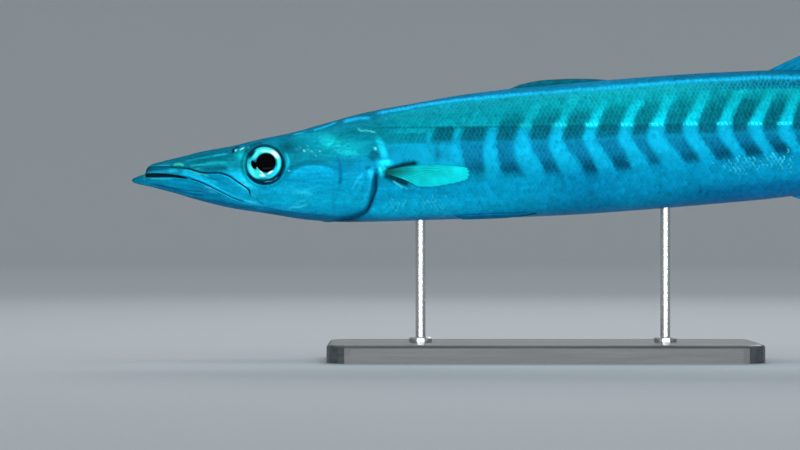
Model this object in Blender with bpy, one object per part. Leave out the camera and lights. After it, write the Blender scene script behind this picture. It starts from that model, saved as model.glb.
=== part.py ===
"""A life-size chevron barracuda, nose a little down, on a plain two-rod display stand.

The fish is drawn in its own frame: s runs back from the tip of the lower jaw along the body's axis,
y runs across it with the fish's left side at -y, and h runs up. place() turns that frame by the
swimming pitch and sets it above the stand. Everything is in metres.
"""

import math

import bmesh
import bpy
from mathutils import Vector

# ---- The whole fish ----
PITCH = math.radians(4.0)  # the axis climbs from the head towards the tail
STALK_END = 0.893  # where the fleshy tail stalk meets the tail fin
TAIL_TIP = 1.0365
TAIL_HALF_SPAN = 0.096
JAW_TIP_HEIGHT = 0.180  # of the lower jaw's tip above the floor
GAP = 0.0003  # kept between pieces that touch
SIDES = 40  # facets round the body

# ---- Body profile: (distance back, height or half width) ----
BACK = (
    (0.000, 0.0002), (0.002, 0.0022), (0.008, 0.0044), (0.0130, 0.0056), (0.0150, 0.0105), (0.0190, 0.0145),
    (0.030, 0.0168), (0.050, 0.0203), (0.070, 0.0238), (0.100, 0.0272), (0.130, 0.0322), (0.160, 0.0362),
    (0.190, 0.0420), (0.240, 0.0518), (0.285, 0.0570), (0.345, 0.0630), (0.420, 0.0660), (0.550, 0.0673),
    (0.640, 0.0655), (0.730, 0.0575), (0.810, 0.0445), (0.870, 0.0360), (0.895, 0.0345),
)
BELLY = (
    (0.000, -0.0012), (0.002, -0.0036), (0.010, -0.0064), (0.020, -0.0092), (0.037, -0.0148),
    (0.060, -0.0236), (0.095, -0.0350), (0.135, -0.0441), (0.175, -0.0530), (0.214, -0.0575),
    (0.320, -0.0620), (0.460, -0.0660), (0.620, -0.0641), (0.700, -0.0592), (0.780, -0.0485),
    (0.850, -0.0378), (0.895, -0.0345),
)
HALF_WIDTH = (
    (0.000, 0.0010), (0.002, 0.0034), (0.010, 0.0058), (0.020, 0.0085), (0.050, 0.0135), (0.090, 0.0195),
    (0.130, 0.0262), (0.190, 0.0350), (0.240, 0.0412), (0.330, 0.0460), (0.460, 0.0485), (0.580, 0.0475),
    (0.680, 0.0410), (0.770, 0.0290), (0.840, 0.0185), (0.880, 0.0085), (0.895, 0.0026),
)
# How square the section is above and below its widest level: 2 is an ellipse.
UPPER_SQUARENESS = ((0.00, 2.0), (0.06, 2.2), (0.13, 2.9), (0.20, 2.5), (0.30, 2.15), (0.895, 2.0))
LOWER_SQUARENESS = ((0.00, 2.0), (0.13, 2.0), (0.24, 2.2), (0.895, 2.0))
WIDEST_SHARE = ((0.00, 0.5), (0.10, 0.60), (0.16, 0.58), (0.24, 0.52), (0.895, 0.5))

# ---- Cuts that divide the body ----
# Edge of the gill cover: angle down from the back in degrees, and how far back the edge lies there.
GILL_EDGE = (
    (0, 0.2425), (60, 0.2440), (88, 0.2425), (110, 0.2425), (127, 0.2370),
    (144, 0.2305), (156, 0.2170), (166, 0.2020), (180, 0.1900),
)
GILL_FLARE = 0.0009  # the gill cover's edge stands proud
GILL_TUCK = 0.0014  # and the shoulder behind it is sunk
GILL_REACH = 0.009
TRUNK_SPLIT = 0.500
STALK_START = 0.755

# ---- Mouth: (distance back, height of its line) and half of its opening there ----
MOUTH_LINE = (
    (0.0150, 0.0031), (0.0230, 0.0029), (0.0380, 0.0015), (0.0480, -0.0003), (0.0580, -0.0029),
    (0.0680, -0.0068), (0.0775, -0.0118), (0.0880, -0.0181), (0.0995, -0.0250), (0.1120, -0.0305),
)
MOUTH_HALF_OPENING = (
    (0.015, 0.0021), (0.030, 0.0020), (0.038, 0.0016), (0.048, 0.0011), (0.056, 0.0006), (0.068, 0.0003),
    (0.112, 0.0002),
)
UPPER_JAW_START = 0.0140
UPPER_JAW_FRONT = ((0.0148, 0.0500), (0.0140, 0.0085), (0.0141, 0.0068), (0.0147, 0.0056))
JAW_JOINT = (0.1120, -0.0305)
JAW_REAR = (0.1230, -0.1200)
MOUTH_FLOOR_SHARE = 0.45  # of the half width: inside it the jaws all but touch
LIP_RADIUS = 0.0017
LIP_LIFT = -0.0008  # of the lip's middle off the skin
# The upper edge of the cheek plate over the mouth, and the bony edge on the cheek.
CHEEK_PLATE_EDGE = (
    (0.0500, 0.0090), (0.0600, 0.0060), (0.0725, 0.0022), (0.0890, 0.0014), (0.0985, -0.0022),
    (0.1040, -0.0078), (0.1105, -0.0128), (0.1165, -0.0182), (0.1168, -0.0245),
)
CHEEK_BONE_EDGE = (
    (0.2075, 0.0060), (0.2075, -0.0150), (0.2030, -0.0310), (0.1920, -0.0440), (0.1700, -0.0490),
)
GROOVE_RADIUS = 0.0007

# ---- Eyes and nostrils ----
EYE = (0.1345, 0.0055)
EYE_RADIUS = 0.0184
EYE_HALF_DEPTH = 0.0068
EYE_SUNK = 0.0012  # of the ball's middle below the rim
SOCKET_RADIUS = 0.0199
RIM_RADIUS = 0.0212
RIM_THICKNESS = 0.0019
NOSTRILS = ((0.1050, 0.0222, 0.0014), (0.0980, 0.0212, 0.0010))
NOSTRIL_DEPTH = 0.0015

# ---- Fins: ray counts and sizes ----
RAY_ROOT, RAY_TIP = 0.0013, 0.0006  # half thickness of a ray
WEB_ROOT, WEB_TIP = 0.0005, 0.00027  # half thickness of the membrane between two rays
RAY_WIDTH = 0.24  # of the space between two rays
WEB_NOTCH = 0.012  # how far the membrane's edge draws in between two ray tips
SOFT_DORSAL_START = 0.641
ANAL_START = 0.655
MEDIAN_RAYS = 10
MEDIAN_BASE = 0.088
MEDIAN_HEIGHT = 0.039
TAIL_RAYS = 9  # in each lobe
TAIL_ROOT_HALF = 0.0335
# Rear edge of the tail fin: (share of the half span, distance back).
TAIL_EDGE = (
    (0.0, 0.9590), (0.10, 0.9670), (0.21, 0.9735), (0.42, 0.9840), (0.62, 0.9980), (0.83, 1.0165),
    (1.0, TAIL_TIP),
)
FIRST_DORSAL_START, FIRST_DORSAL_END = 0.3805, 0.4800
FIRST_DORSAL_HEIGHT = 0.0046
FIRST_DORSAL_HALF_WIDTH = 0.0017
# How high and how wide the folded fin is along its length, as shares of those two.
FIRST_DORSAL_RISE = ((0.0, 0.15), (0.10, 0.62), (0.35, 1.0), (0.60, 0.86), (0.85, 0.50), (1.0, 0.16))
FIRST_DORSAL_WIDTH_SHARE = ((0.0, 0.45), (0.15, 1.0), (0.70, 0.9), (1.0, 0.35))
PECTORAL_RAYS = 13
# Rear edge of the breast fin, from its upper ray (0) to its lower one (1).
PECTORAL_TIP_BACK = (
    (0.0, 0.3309), (0.10, 0.3362), (0.25, 0.3322), (0.42, 0.3215), (0.58, 0.3091), (0.75, 0.2965),
    (1.0, 0.2790),
)
PECTORAL_TIP_HEIGHT = (
    (0.0, -0.0116), (0.10, -0.0160), (0.25, -0.0214), (0.42, -0.0248), (0.58, -0.0270), (0.75, -0.0270),
    (1.0, -0.0208),
)
PECTORAL_SPREAD = 0.085  # rise off the flank for each metre back from the root
PELVIC_RAYS = 6
PELVIC_THICKNESS = 0.6  # as a share of the other fins'
PELVIC_START = 0.319
PELVIC_SPREAD = 0.004

# ---- Stand ----
BASE_SIZE = (0.430, 0.170, 0.018)
BASE_CORNER, BASE_BEVEL = 0.024, 0.003
ROD_RADIUS = 0.005
ROD_COLLAR = (0.0115, 0.005)  # radius and height
ROD_STATIONS = {"stand_rod_front": 0.285, "stand_rod_rear": 0.530}
ROD_INSERT = 0.008  # how deep a rod enters the belly
ROD_SIDES = 20

AXIS = Vector((math.cos(PITCH), 0.0, math.sin(PITCH)))
ACROSS = Vector((0.0, 1.0, 0.0))
UP = Vector((-math.sin(PITCH), 0.0, math.cos(PITCH)))
OVERALL_LENGTH = TAIL_TIP * AXIS.x - TAIL_HALF_SPAN * UP.x
JAW_TIP = Vector((-OVERALL_LENGTH / 2, 0.0, JAW_TIP_HEIGHT))


def place(point):
    """A point (s, y, h) of the fish's frame, in the row frame."""
    s, y, h = point
    return JAW_TIP + AXIS * s + ACROSS * y + UP * h


def smooth(keys, x):
    """Value at x of a smooth curve through the keys that never overshoots them."""
    if x <= keys[0][0]:
        return keys[0][1]
    if x >= keys[-1][0]:
        return keys[-1][1]
    i = next(k for k in range(len(keys) - 1) if x <= keys[k + 1][0])
    step = [keys[k + 1][0] - keys[k][0] for k in range(len(keys) - 1)]
    rise = [(keys[k + 1][1] - keys[k][1]) / step[k] for k in range(len(keys) - 1)]

    def slope(k):
        if k in (0, len(keys) - 1):
            return rise[min(k, len(rise) - 1)]
        before, after = rise[k - 1], rise[k]
        return 2 * before * after / (before + after) if before * after > 0 else 0.0

    t = (x - keys[i][0]) / step[i]
    hold, lead = keys[i][1], keys[i + 1][1]
    return (
        hold * (1 + 2 * t) * (1 - t) ** 2
        + slope(i) * step[i] * t * (1 - t) ** 2
        + lead * t * t * (3 - 2 * t)
        - slope(i + 1) * step[i] * t * t * (1 - t)
    )


def curve(points, steps=4):
    """Points of a smooth curve through the given ones, with some steps between each two."""
    made, last = [], len(points) - 1
    for i in range(last):
        a, b, c, d = (Vector(points[max(0, min(last, k))]) for k in (i - 1, i, i + 1, i + 2))
        for k in range(steps):
            t = k / steps
            made.append(b + 0.5 * t * (c - a + t * (2 * a - 5 * b + 4 * c - d + t * (3 * (b - c) + d - a))))
    return made + [Vector(points[-1])]


def section(s):
    """Widest level, rise above it, drop below it, half width and the two squarenesses at station s."""
    top, bottom = smooth(BACK, s), smooth(BELLY, s)
    level = bottom + (top - bottom) * smooth(WIDEST_SHARE, s)
    return (
        level, top - level, level - bottom, smooth(HALF_WIDTH, s),
        smooth(UPPER_SQUARENESS, s), smooth(LOWER_SQUARENESS, s),
    )


def skin_point(s, angle, swell=0.0):
    """Point of the skin at an angle down from the back, positive on the left side."""
    level, rise, drop, half, upper, lower = section(s)
    c, q = math.cos(angle), math.sin(angle)
    power = 2 / (upper if c > 0 else lower)
    reach = (rise if c > 0 else drop) + swell
    h = level + math.copysign(abs(c) ** power, c) * reach
    y = -math.copysign(abs(q) ** power, q) * (half + swell)
    return Vector((s, y, h))


def skin_normal(s, y, h):
    """Outward direction of the section's edge at a point on it."""
    level, rise, drop, half, upper, lower = section(s)
    above = h > level
    power, reach = (upper, rise) if above else (lower, drop)
    out_y = math.copysign((abs(y) / half) ** (power - 1) / half, y)
    out_h = math.copysign((abs(h - level) / reach) ** (power - 1) / reach, h - level)
    return Vector((0.0, out_y, out_h)).normalized()


def flank_at_height(s, h, side, lift=0.0):
    """Point of the flank at height h, lifted off the skin. side is -1 on the left and 1 on the right."""
    level, rise, drop, half, upper, lower = section(s)
    power, reach = (upper, rise) if h > level else (lower, drop)
    y = side * half * max(1e-6, 1 - min(1.0, abs(h - level) / reach) ** power) ** (1 / power)
    return Vector((s, y, h)) + skin_normal(s, y, h) * lift


def belly_at_side(s, y, lift=0.0):
    """Point of the belly under the side position y, lifted off the skin."""
    level, _, drop, half, _, lower = section(s)
    h = level - drop * (1 - (abs(y) / half) ** lower) ** (1 / lower)
    return Vector((s, y, h)) + skin_normal(s, y, h) * lift


def gill_edge(angle):
    """How far back the gill cover's edge lies at an angle down from the back."""
    return smooth(GILL_EDGE, math.degrees(abs(angle)))


def gill_depth(angle):
    """1 where the gill cover's edge is free, 0 on the nape where skin runs on."""
    return smooth(((0.0, 0.0), (72.0, 0.0), (98.0, 1.0), (180.0, 1.0)), math.degrees(abs(angle)))


def gill_tuck(angle):
    """How far the shoulder is sunk where it meets the gill cover."""
    return GILL_TUCK * (0.2 + 0.8 * gill_depth(angle))


# ---- Making objects ----


def finish(name, colour, roughness, metallic):
    material = bpy.data.materials.new(name)
    material.use_nodes = True
    shader = material.node_tree.nodes["Principled BSDF"]
    shader.inputs["Base Color"].default_value = (*colour, 1.0)
    shader.inputs["Roughness"].default_value = roughness
    shader.inputs["Metallic"].default_value = metallic
    return material


def add_object(name, bm, material, smooth_faces=True):
    """Turns a bmesh into the named object, with its faces pointing out."""
    bm.normal_update()
    bmesh.ops.recalc_face_normals(bm, faces=bm.faces)
    mesh = bpy.data.meshes.new(name)
    bm.to_mesh(mesh)
    bm.free()
    obj = bpy.data.objects.new(name, mesh)
    bpy.context.scene.collection.objects.link(obj)
    if material:
        mesh.materials.append(material)
    if smooth_faces:
        mesh.shade_smooth()
        mesh.set_sharp_from_angle(angle=math.radians(40))
    return obj


def loft(bm, rings):
    """Skins rings of points in order and closes each end with a fan round its middle."""
    rows = [[bm.verts.new(point) for point in ring] for ring in rings]
    count = len(rings[0])
    for row, following in zip(rows, rows[1:]):
        for i in range(count):
            j = (i + 1) % count
            bm.faces.new((row[i], row[j], following[j], following[i]))
    for row in (rows[0], rows[-1]):
        middle = bm.verts.new(sum((v.co for v in row), Vector()) / count)
        for i in range(count):
            bm.faces.new((row[i], row[(i + 1) % count], middle))


def body_ring(station, swell=None):
    """A ring of the body's skin. station and swell are functions of the angle."""
    points = []
    for k in range(SIDES):
        angle = math.remainder(math.tau * k / SIDES, math.tau)
        points.append(place(skin_point(station(angle), angle, swell(angle) if swell else 0.0)))
    return points


def tube(bm, path, radius, sides=6):
    """A round rod through the points of path, with closed ends."""
    rings = []
    for i, point in enumerate(path):
        ahead = (path[min(i + 1, len(path) - 1)] - path[max(i - 1, 0)]).normalized()
        across = ahead.cross(ACROSS).normalized()
        over = ahead.cross(across)
        turn = [math.tau * k / sides for k in range(sides)]
        rings.append([point + (across * math.cos(a) + over * math.sin(a)) * radius for a in turn])
    loft(bm, rings)


def slab(bm, outline, half_width):
    """A prism across the fish whose outline is given in (s, h)."""
    near = [bm.verts.new(place((s, -half_width, h))) for s, h in outline]
    far = [bm.verts.new(place((s, half_width, h))) for s, h in outline]
    bm.faces.new(near)
    bm.faces.new(far[::-1])
    for i in range(len(outline)):
        j = (i + 1) % len(outline)
        bm.faces.new((near[i], near[j], far[j], far[i]))


def boolean(obj, operation, cutters):
    """Applies one Boolean of a set of closed meshes, removes them and keeps the largest surface."""
    group = bpy.data.collections.new("cutters")
    for cutter in cutters:
        group.objects.link(cutter)
    modifier = obj.modifiers.new("cut", "BOOLEAN")
    modifier.operation = operation
    modifier.solver = "EXACT"
    modifier.operand_type = "COLLECTION"
    modifier.collection = group
    depsgraph = bpy.context.evaluated_depsgraph_get()
    made = bpy.data.meshes.new_from_object(obj.evaluated_get(depsgraph))
    obj.modifiers.clear()
    obj.data = made
    made.set_sharp_from_angle(angle=math.radians(40))
    for cutter in cutters:
        bpy.data.objects.remove(cutter)
    bpy.data.collections.remove(group)
    keep_largest(obj)
    return obj


def keep_largest(obj):
    """Drops every surface of a mesh but the one with the most faces."""
    bm = bmesh.new()
    bm.from_mesh(obj.data)
    left, pieces = set(bm.verts), []
    while left:
        piece, edge = set(), [left.pop()]
        while edge:
            vert = edge.pop()
            piece.add(vert)
            near = {e.other_vert(vert) for e in vert.link_edges} & left
            left -= near
            edge.extend(near)
        pieces.append(piece)
    largest = max(pieces, key=lambda piece: sum(len(v.link_faces) for v in piece))
    bmesh.ops.delete(bm, geom=[v for v in bm.verts if v not in largest], context="VERTS")
    bm.to_mesh(obj.data)
    bm.free()


# ---- Head, jaw, trunk and tail stalk ----


def head_tube(name, material):
    """The head from the lower jaw's tip to the gill cover's edge, both jaws in one."""
    nose = (0.0, 0.0007, 0.0025, 0.0060, 0.0105, 0.0132, 0.0142, 0.0155, 0.0185, 0.0235)
    steps = 34
    start, spread = nose[-1], GILL_EDGE[0][1] - nose[-1]
    stations = nose + tuple(start + spread * k / steps for k in range(1, steps + 1))
    last = stations[-1]
    rings = []
    for s in stations:
        share = max(0.0, (s - 0.10) / (last - 0.10))

        def station(angle, s=s, share=share):
            return s + (gill_edge(angle) - last) * share

        def swell(angle, station=station):
            behind = max(0.0, 1 - (gill_edge(angle) - station(angle)) / GILL_REACH)
            return GILL_FLARE * gill_depth(angle) * behind**2

        rings.append(body_ring(station, swell))
    rings.append(body_ring(gill_edge, lambda angle: -gill_tuck(angle)))
    bm = bmesh.new()
    loft(bm, rings)
    return add_object(name, bm, material)


def on_flank(points, side, lift=0.0):
    return [place(flank_at_height(s, h, side, lift)) for s, h in points]


def mouth_edge(share, rise=0.0):
    """The mouth line, moved up by a share of its half opening and by rise."""
    return [(s, h + share * smooth(MOUTH_HALF_OPENING, s) + rise) for s, h in curve(MOUTH_LINE, 2)]


def lips():
    """A rounded welt above and below the opening of the mouth, on both sides."""
    made = []
    for side in (-1, 1):
        for lip in (-1, 1):
            bm = bmesh.new()
            tube(bm, on_flank(mouth_edge(lip, lip * 0.6 * LIP_RADIUS), side, LIP_LIFT), LIP_RADIUS)
            made.append(add_object("lip", bm, None))
    return made


def eye_rims():
    """A low rounded welt round each eye."""
    made = []
    for side in (-1, 1):
        turn = [math.tau * k / 28 for k in range(28)]
        middles = [
            flank_at_height(EYE[0] + RIM_RADIUS * math.cos(a), EYE[1] + RIM_RADIUS * math.sin(a), side,
                            -0.45 * RIM_THICKNESS)
            for a in turn
        ]
        centre, _, _, out = eye_seat(side)
        bm = bmesh.new()
        rings = []
        for middle in middles:
            away = (middle - centre).normalized()
            rings.append([
                bm.verts.new(place(middle + (away * math.cos(b) + out * math.sin(b)) * RIM_THICKNESS))
                for b in (math.tau * k / 8 for k in range(8))
            ])
        for ring, following in zip(rings, rings[1:] + rings[:1]):
            for i in range(8):
                j = (i + 1) % 8
                bm.faces.new((ring[i], ring[j], following[j], following[i]))
        made.append(add_object("rim", bm, None))
    return made


def gape(side):
    """The open part of the mouth on one side, which stops short of the middle."""
    rings = []
    for (s, top), (_, bottom) in zip(mouth_edge(1.0), mouth_edge(-1.0)):
        inner, outer = side * MOUTH_FLOOR_SHARE * smooth(HALF_WIDTH, s), side * 0.06
        corners = ((inner, top), (outer, top), (outer, bottom), (inner, bottom))
        rings.append([place((s, y, h)) for y, h in corners])
    rings.insert(0, [point - AXIS * (MOUTH_LINE[0][0] - UPPER_JAW_START + GAP) for point in rings[0]])
    bm = bmesh.new()
    loft(bm, rings)
    return add_object("gape", bm, None)


def head_cutters():
    """Eye sockets, nostrils and the edges of the cheek's plates."""
    made = []
    for side in (-1, 1):
        ball = bmesh.new()
        bmesh.ops.create_uvsphere(ball, u_segments=22, v_segments=10, radius=1.0)
        seat_eye(ball, Vector((SOCKET_RADIUS, SOCKET_RADIUS, EYE_HALF_DEPTH + GAP)), side)
        made.append(add_object("socket", ball, None))
        for s, h, radius in NOSTRILS:
            pit = bmesh.new()
            mouth = flank_at_height(s, h, side)
            inward = skin_normal(*mouth) * -NOSTRIL_DEPTH
            tube(pit, [place(mouth - inward), place(mouth + inward)], radius, sides=8)
            made.append(add_object("nostril", pit, None))
        for edge in (CHEEK_PLATE_EDGE, CHEEK_BONE_EDGE):
            groove = bmesh.new()
            tube(groove, on_flank(curve(edge, 2), side), GROOVE_RADIUS)
            made.append(add_object("groove", groove, None))
    return made


def eye_seat(side):
    """Middle of the eye's opening, with the directions back, up and out from it."""
    s, h = EYE
    front, rear = flank_at_height(s - EYE_RADIUS, h, side), flank_at_height(s + EYE_RADIUS, h, side)
    foot, top = flank_at_height(s, h - EYE_RADIUS, side), flank_at_height(s, h + EYE_RADIUS, side)
    back = (rear - front).normalized()
    out = back.cross(top - foot).normalized()
    if out.y * side < 0:
        out = -out
    middle = (front + rear + foot + top) / 4
    middle.x, middle.z = s, h
    return middle, back, out.cross(back) * (1 if side < 0 else -1), out


def seat_eye(bm, size, side):
    """Scales a shape whose axis is z and sets it in the eye's opening, with z facing out."""
    middle, back, up, out = eye_seat(side)
    for vert in bm.verts:
        x, y, z = vert.co
        vert.co = place(middle + back * (x * size.x) + up * (y * size.y) + out * (z * size.z - EYE_SUNK))


def make_head(material):
    """Makes head and lower jaw, parted along the mouth line and down behind the joint, and gives the jaw."""
    far, deep = -0.05, JAW_REAR[1]
    head = boolean(head_tube("head", material), "UNION", lips() + eye_rims())
    jaw = bpy.data.objects.new("lower_jaw", head.data.copy())
    bpy.context.scene.collection.objects.link(jaw)

    above = bmesh.new()
    parting = mouth_edge(0.0, 0.5 * GAP)[:-1] + [JAW_JOINT, JAW_REAR]
    slab(above, [(far, 0.05), *UPPER_JAW_FRONT, *parting, (far, deep)], 0.09)
    boolean(head, "DIFFERENCE", [add_object("below_mouth", above, None)])

    below = bmesh.new()
    front = UPPER_JAW_START - GAP
    parting = [(front, MOUTH_LINE[0][1])] + mouth_edge(0.0, -0.5 * GAP)[:-1]
    parting += [(s - 1.5 * GAP, h - GAP) for s, h in (JAW_JOINT, JAW_REAR)]
    slab(below, [(far, 0.05), (front, 0.05), *parting, (far, deep - GAP)], 0.09)
    boolean(jaw, "INTERSECT", [add_object("jaw_block", below, None)])

    boolean(jaw, "DIFFERENCE", [gape(-1), gape(1)])
    boolean(head, "DIFFERENCE", [gape(-1), gape(1)] + head_cutters())
    return jaw


def make_eye(name, side, material):
    bm = bmesh.new()
    bmesh.ops.create_uvsphere(bm, u_segments=22, v_segments=10, radius=1.0)
    seat_eye(bm, Vector((EYE_RADIUS, EYE_RADIUS, EYE_HALF_DEPTH)), side)
    return add_object(name, bm, material)


def trunk_part(name, start, end, steps, material):
    """A length of the body between two stations."""
    stations = [start + (end - start) * k / steps for k in range(steps + 1)]
    bm = bmesh.new()
    loft(bm, [body_ring(lambda angle, s=s: s) for s in stations])
    return add_object(name, bm, material)


def make_shoulder(material):
    """The front of the trunk, tucked under the gill cover's edge."""
    steps = 14
    rings = []
    for k in range(steps + 1):
        share = (k / steps) ** 1.35

        def station(angle, share=share):
            start = gill_edge(angle) + GAP
            return start + (TRUNK_SPLIT - start) * share

        def swell(angle, station=station):
            ahead = max(0.0, 1 - (station(angle) - gill_edge(angle) - GAP) / GILL_REACH)
            return -gill_tuck(angle) * ahead

        rings.append(body_ring(station, swell))
    bm = bmesh.new()
    loft(bm, rings)
    return add_object("trunk_front", bm, material)


# ---- Fins ----


def curve_through(root, bend, tip, t):
    """Point of a ray that leaves root, leans towards bend and ends at tip."""
    return root * (1 - t) ** 2 + bend * 2 * t * (1 - t) + tip * t * t


def make_fin(name, rays, rows, lay, material, thick=1.0):
    """A closed fin with a ridge along each ray.

    rays holds (root, bend, tip) in the fin's own plane. lay turns a point of that plane and an
    offset through the fin's thickness into the fish's frame.
    """
    columns = []
    lines = [[curve_through(*ray, k / rows) for k in range(rows + 1)] for ray in rays]
    for i, line in enumerate(lines):
        for near in (i - 1, i, i + 1):
            if near == i:
                columns.append((line, RAY_ROOT * thick, RAY_TIP))
            elif 0 <= near < len(lines):
                web = [a.lerp(b, RAY_WIDTH) for a, b in zip(line, lines[near])]
                web[-1] = web[-1].lerp(web[-2], WEB_NOTCH)
                columns.append((web, WEB_ROOT * thick, WEB_TIP))
    bm = bmesh.new()
    sheets = []
    for face in (-1, 1):
        sheet = []
        for line, root, tip in columns:
            halves = [root + (tip - root) * (k / rows) ** 0.8 for k in range(rows + 1)]
            sheet.append([bm.verts.new(place(lay(p, face * half))) for p, half in zip(line, halves)])
        sheets.append(sheet)
    for sheet in sheets:
        for here, there in zip(sheet, sheet[1:]):
            for k in range(rows):
                bm.faces.new((here[k], there[k], there[k + 1]))
                bm.faces.new((here[k], there[k + 1], here[k + 1]))
    left, right = sheets
    rim = [(c, 0) for c in range(len(columns))] + [(len(columns) - 1, k) for k in range(1, rows + 1)]
    rim += [(c, rows) for c in range(len(columns) - 2, -1, -1)] + [(0, k) for k in range(rows - 1, 0, -1)]
    for (c, k), (d, m) in zip(rim, rim[1:] + rim[:1]):
        bm.faces.new((left[c][k], left[d][m], right[d][m]))
        bm.faces.new((left[c][k], right[d][m], right[c][k]))
    return add_object(name, bm, material)


def median_ray(i, start, edge, direction):
    """Ray i of the soft dorsal or anal fin. edge gives the body's outline that it stands on."""
    root_s = start + MEDIAN_BASE * i / (MEDIAN_RAYS - 1)
    # Heights fall in a hollow curve from the pointed lobe in front to the low last ray.
    height = MEDIAN_HEIGHT * smooth(((0, 0.42), (1, 1.0), (2, 0.90), (4, 0.52), (6, 0.31), (9, 0.20)), i)
    reach = smooth(((0, 0.040), (1, 0.085), (4, 0.086), (6, 0.092), (9, 0.114)), i)
    tip_s = start + reach
    root = Vector((root_s, smooth(edge, root_s) + direction * GAP))
    tip = Vector((tip_s, smooth(edge, tip_s) + direction * height))
    bend = root.lerp(tip, 0.5) + Vector((0.0, direction * 0.08 * height))
    return root, bend, tip


def upright(point, offset):
    """Lays a fin's plane on the fish's middle plane."""
    return (point.x, offset, point.y)


def make_tail_lobe(name, direction, material):
    """Half of the tail fin. Its innermost ray lies along the axis, against the other lobe's."""
    rays = []
    for i in range(TAIL_RAYS):
        share = i / (TAIL_RAYS - 1)
        span = share**1.12
        root = Vector((STALK_END + GAP, direction * (GAP / 2 + TAIL_ROOT_HALF * share)))
        tip = Vector((smooth(TAIL_EDGE, span), direction * (GAP / 2 + TAIL_HALF_SPAN * span)))
        bend = root.lerp(tip, 0.45) + Vector((0.0, direction * 0.010 * share**2))
        rays.append((root, bend, tip))
    return make_fin(name, rays, 6, upright, material, thick=1.45)


def make_first_dorsal(material):
    """The spiny dorsal fin, folded down: five spines laid along the back in a low keel."""
    steps, levels = 22, (0.0, 0.18, 0.38, 0.58, 0.80, 1.0)
    ridge = (0.9, 1.0, 0.72, 0.95, 0.62, 0.42)
    rings = []
    for k in range(steps + 1):
        share = k / steps
        s = FIRST_DORSAL_START + (FIRST_DORSAL_END - FIRST_DORSAL_START) * share
        rise, thin = smooth(FIRST_DORSAL_RISE, share), smooth(FIRST_DORSAL_WIDTH_SHARE, share)
        foot = smooth(BACK, s) + GAP
        side = [
            (s, FIRST_DORSAL_HALF_WIDTH * thin * wide, foot + FIRST_DORSAL_HEIGHT * rise * level)
            for level, wide in zip(levels, ridge)
        ]
        rings.append([place(p) for p in side] + [place((p[0], -p[1], p[2])) for p in side[::-1]])
    bm = bmesh.new()
    loft(bm, rings)
    return add_object("first_dorsal_fin", bm, material)


def make_pectoral(name, side, material):
    """The breast fin, folded back along the flank and lifting off it towards the tip."""
    base_top, base_foot = Vector((0.2540, -0.0085)), Vector((0.2552, -0.0135))
    rays = []
    for i in range(PECTORAL_RAYS):
        share = i / (PECTORAL_RAYS - 1)
        root = base_top.lerp(base_foot, share)
        tip = Vector((smooth(PECTORAL_TIP_BACK, share), smooth(PECTORAL_TIP_HEIGHT, share)))
        bend = root.lerp(tip, 0.5) + Vector((0.0, 0.0070 - 0.0045 * share))
        rays.append((root, bend, tip))

    def lay(point, offset):
        away = max(0.0, point.x - base_top.x)
        lift = RAY_ROOT + GAP + PECTORAL_SPREAD * away
        return flank_at_height(point.x, point.y, side, lift + offset)

    return make_fin(name, rays, 5, lay, material)


def make_pelvic(name, side, material):
    """A belly fin, folded flat against the belly."""
    rays = []
    for i in range(PELVIC_RAYS):
        share = i / (PELVIC_RAYS - 1)
        root = Vector((PELVIC_START + 0.0080 * share, 0.0185 - 0.0065 * share))
        tip = Vector((0.4010 - 0.0340 * share**1.5, 0.0200 - 0.0085 * share))
        bend = root.lerp(tip, 0.5) + Vector((0.0, 0.0020 * (1 - 2 * share)))
        rays.append((root, bend, tip))

    def lay(point, offset):
        away = max(0.0, point.x - PELVIC_START)
        lift = PELVIC_THICKNESS * RAY_ROOT + GAP + PELVIC_SPREAD * away
        return belly_at_side(point.x, side * point.y, lift + offset)

    return make_fin(name, rays, 5, lay, material, thick=PELVIC_THICKNESS)


# ---- Stand ----


def rod_foot(name):
    """Where a rod stands, and the height at which it stops inside the belly."""
    s = ROD_STATIONS[name]
    belly = place((s, 0.0, smooth(BELLY, s)))
    return Vector((belly.x, 0.0, BASE_SIZE[2])), belly.z + ROD_INSERT


def rod_profile(name, material):
    foot, top = rod_foot(name)
    radius, height = ROD_COLLAR
    low = foot.z + GAP
    levels = [(radius, low), (radius, low + height * 0.7), (radius * 0.82, low + height),
              (ROD_RADIUS, low + height), (ROD_RADIUS, top)]
    turn = [math.tau * k / ROD_SIDES for k in range(ROD_SIDES)]
    rings = [[Vector((foot.x + r * math.cos(a), r * math.sin(a), z)) for a in turn] for r, z in levels]
    bm = bmesh.new()
    loft(bm, rings)
    return add_object(name, bm, material)


def rod_hole(name):
    foot, top = rod_foot(name)
    bm = bmesh.new()
    turn = [math.tau * k / ROD_SIDES for k in range(ROD_SIDES)]
    wide = ROD_RADIUS + GAP
    circle = [(foot.x + wide * math.cos(a), wide * math.sin(a)) for a in turn]
    rings = [[Vector((x, y, z)) for x, y in circle] for z in (foot.z, top + GAP)]
    loft(bm, rings)
    return add_object("hole", bm, None)


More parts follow.
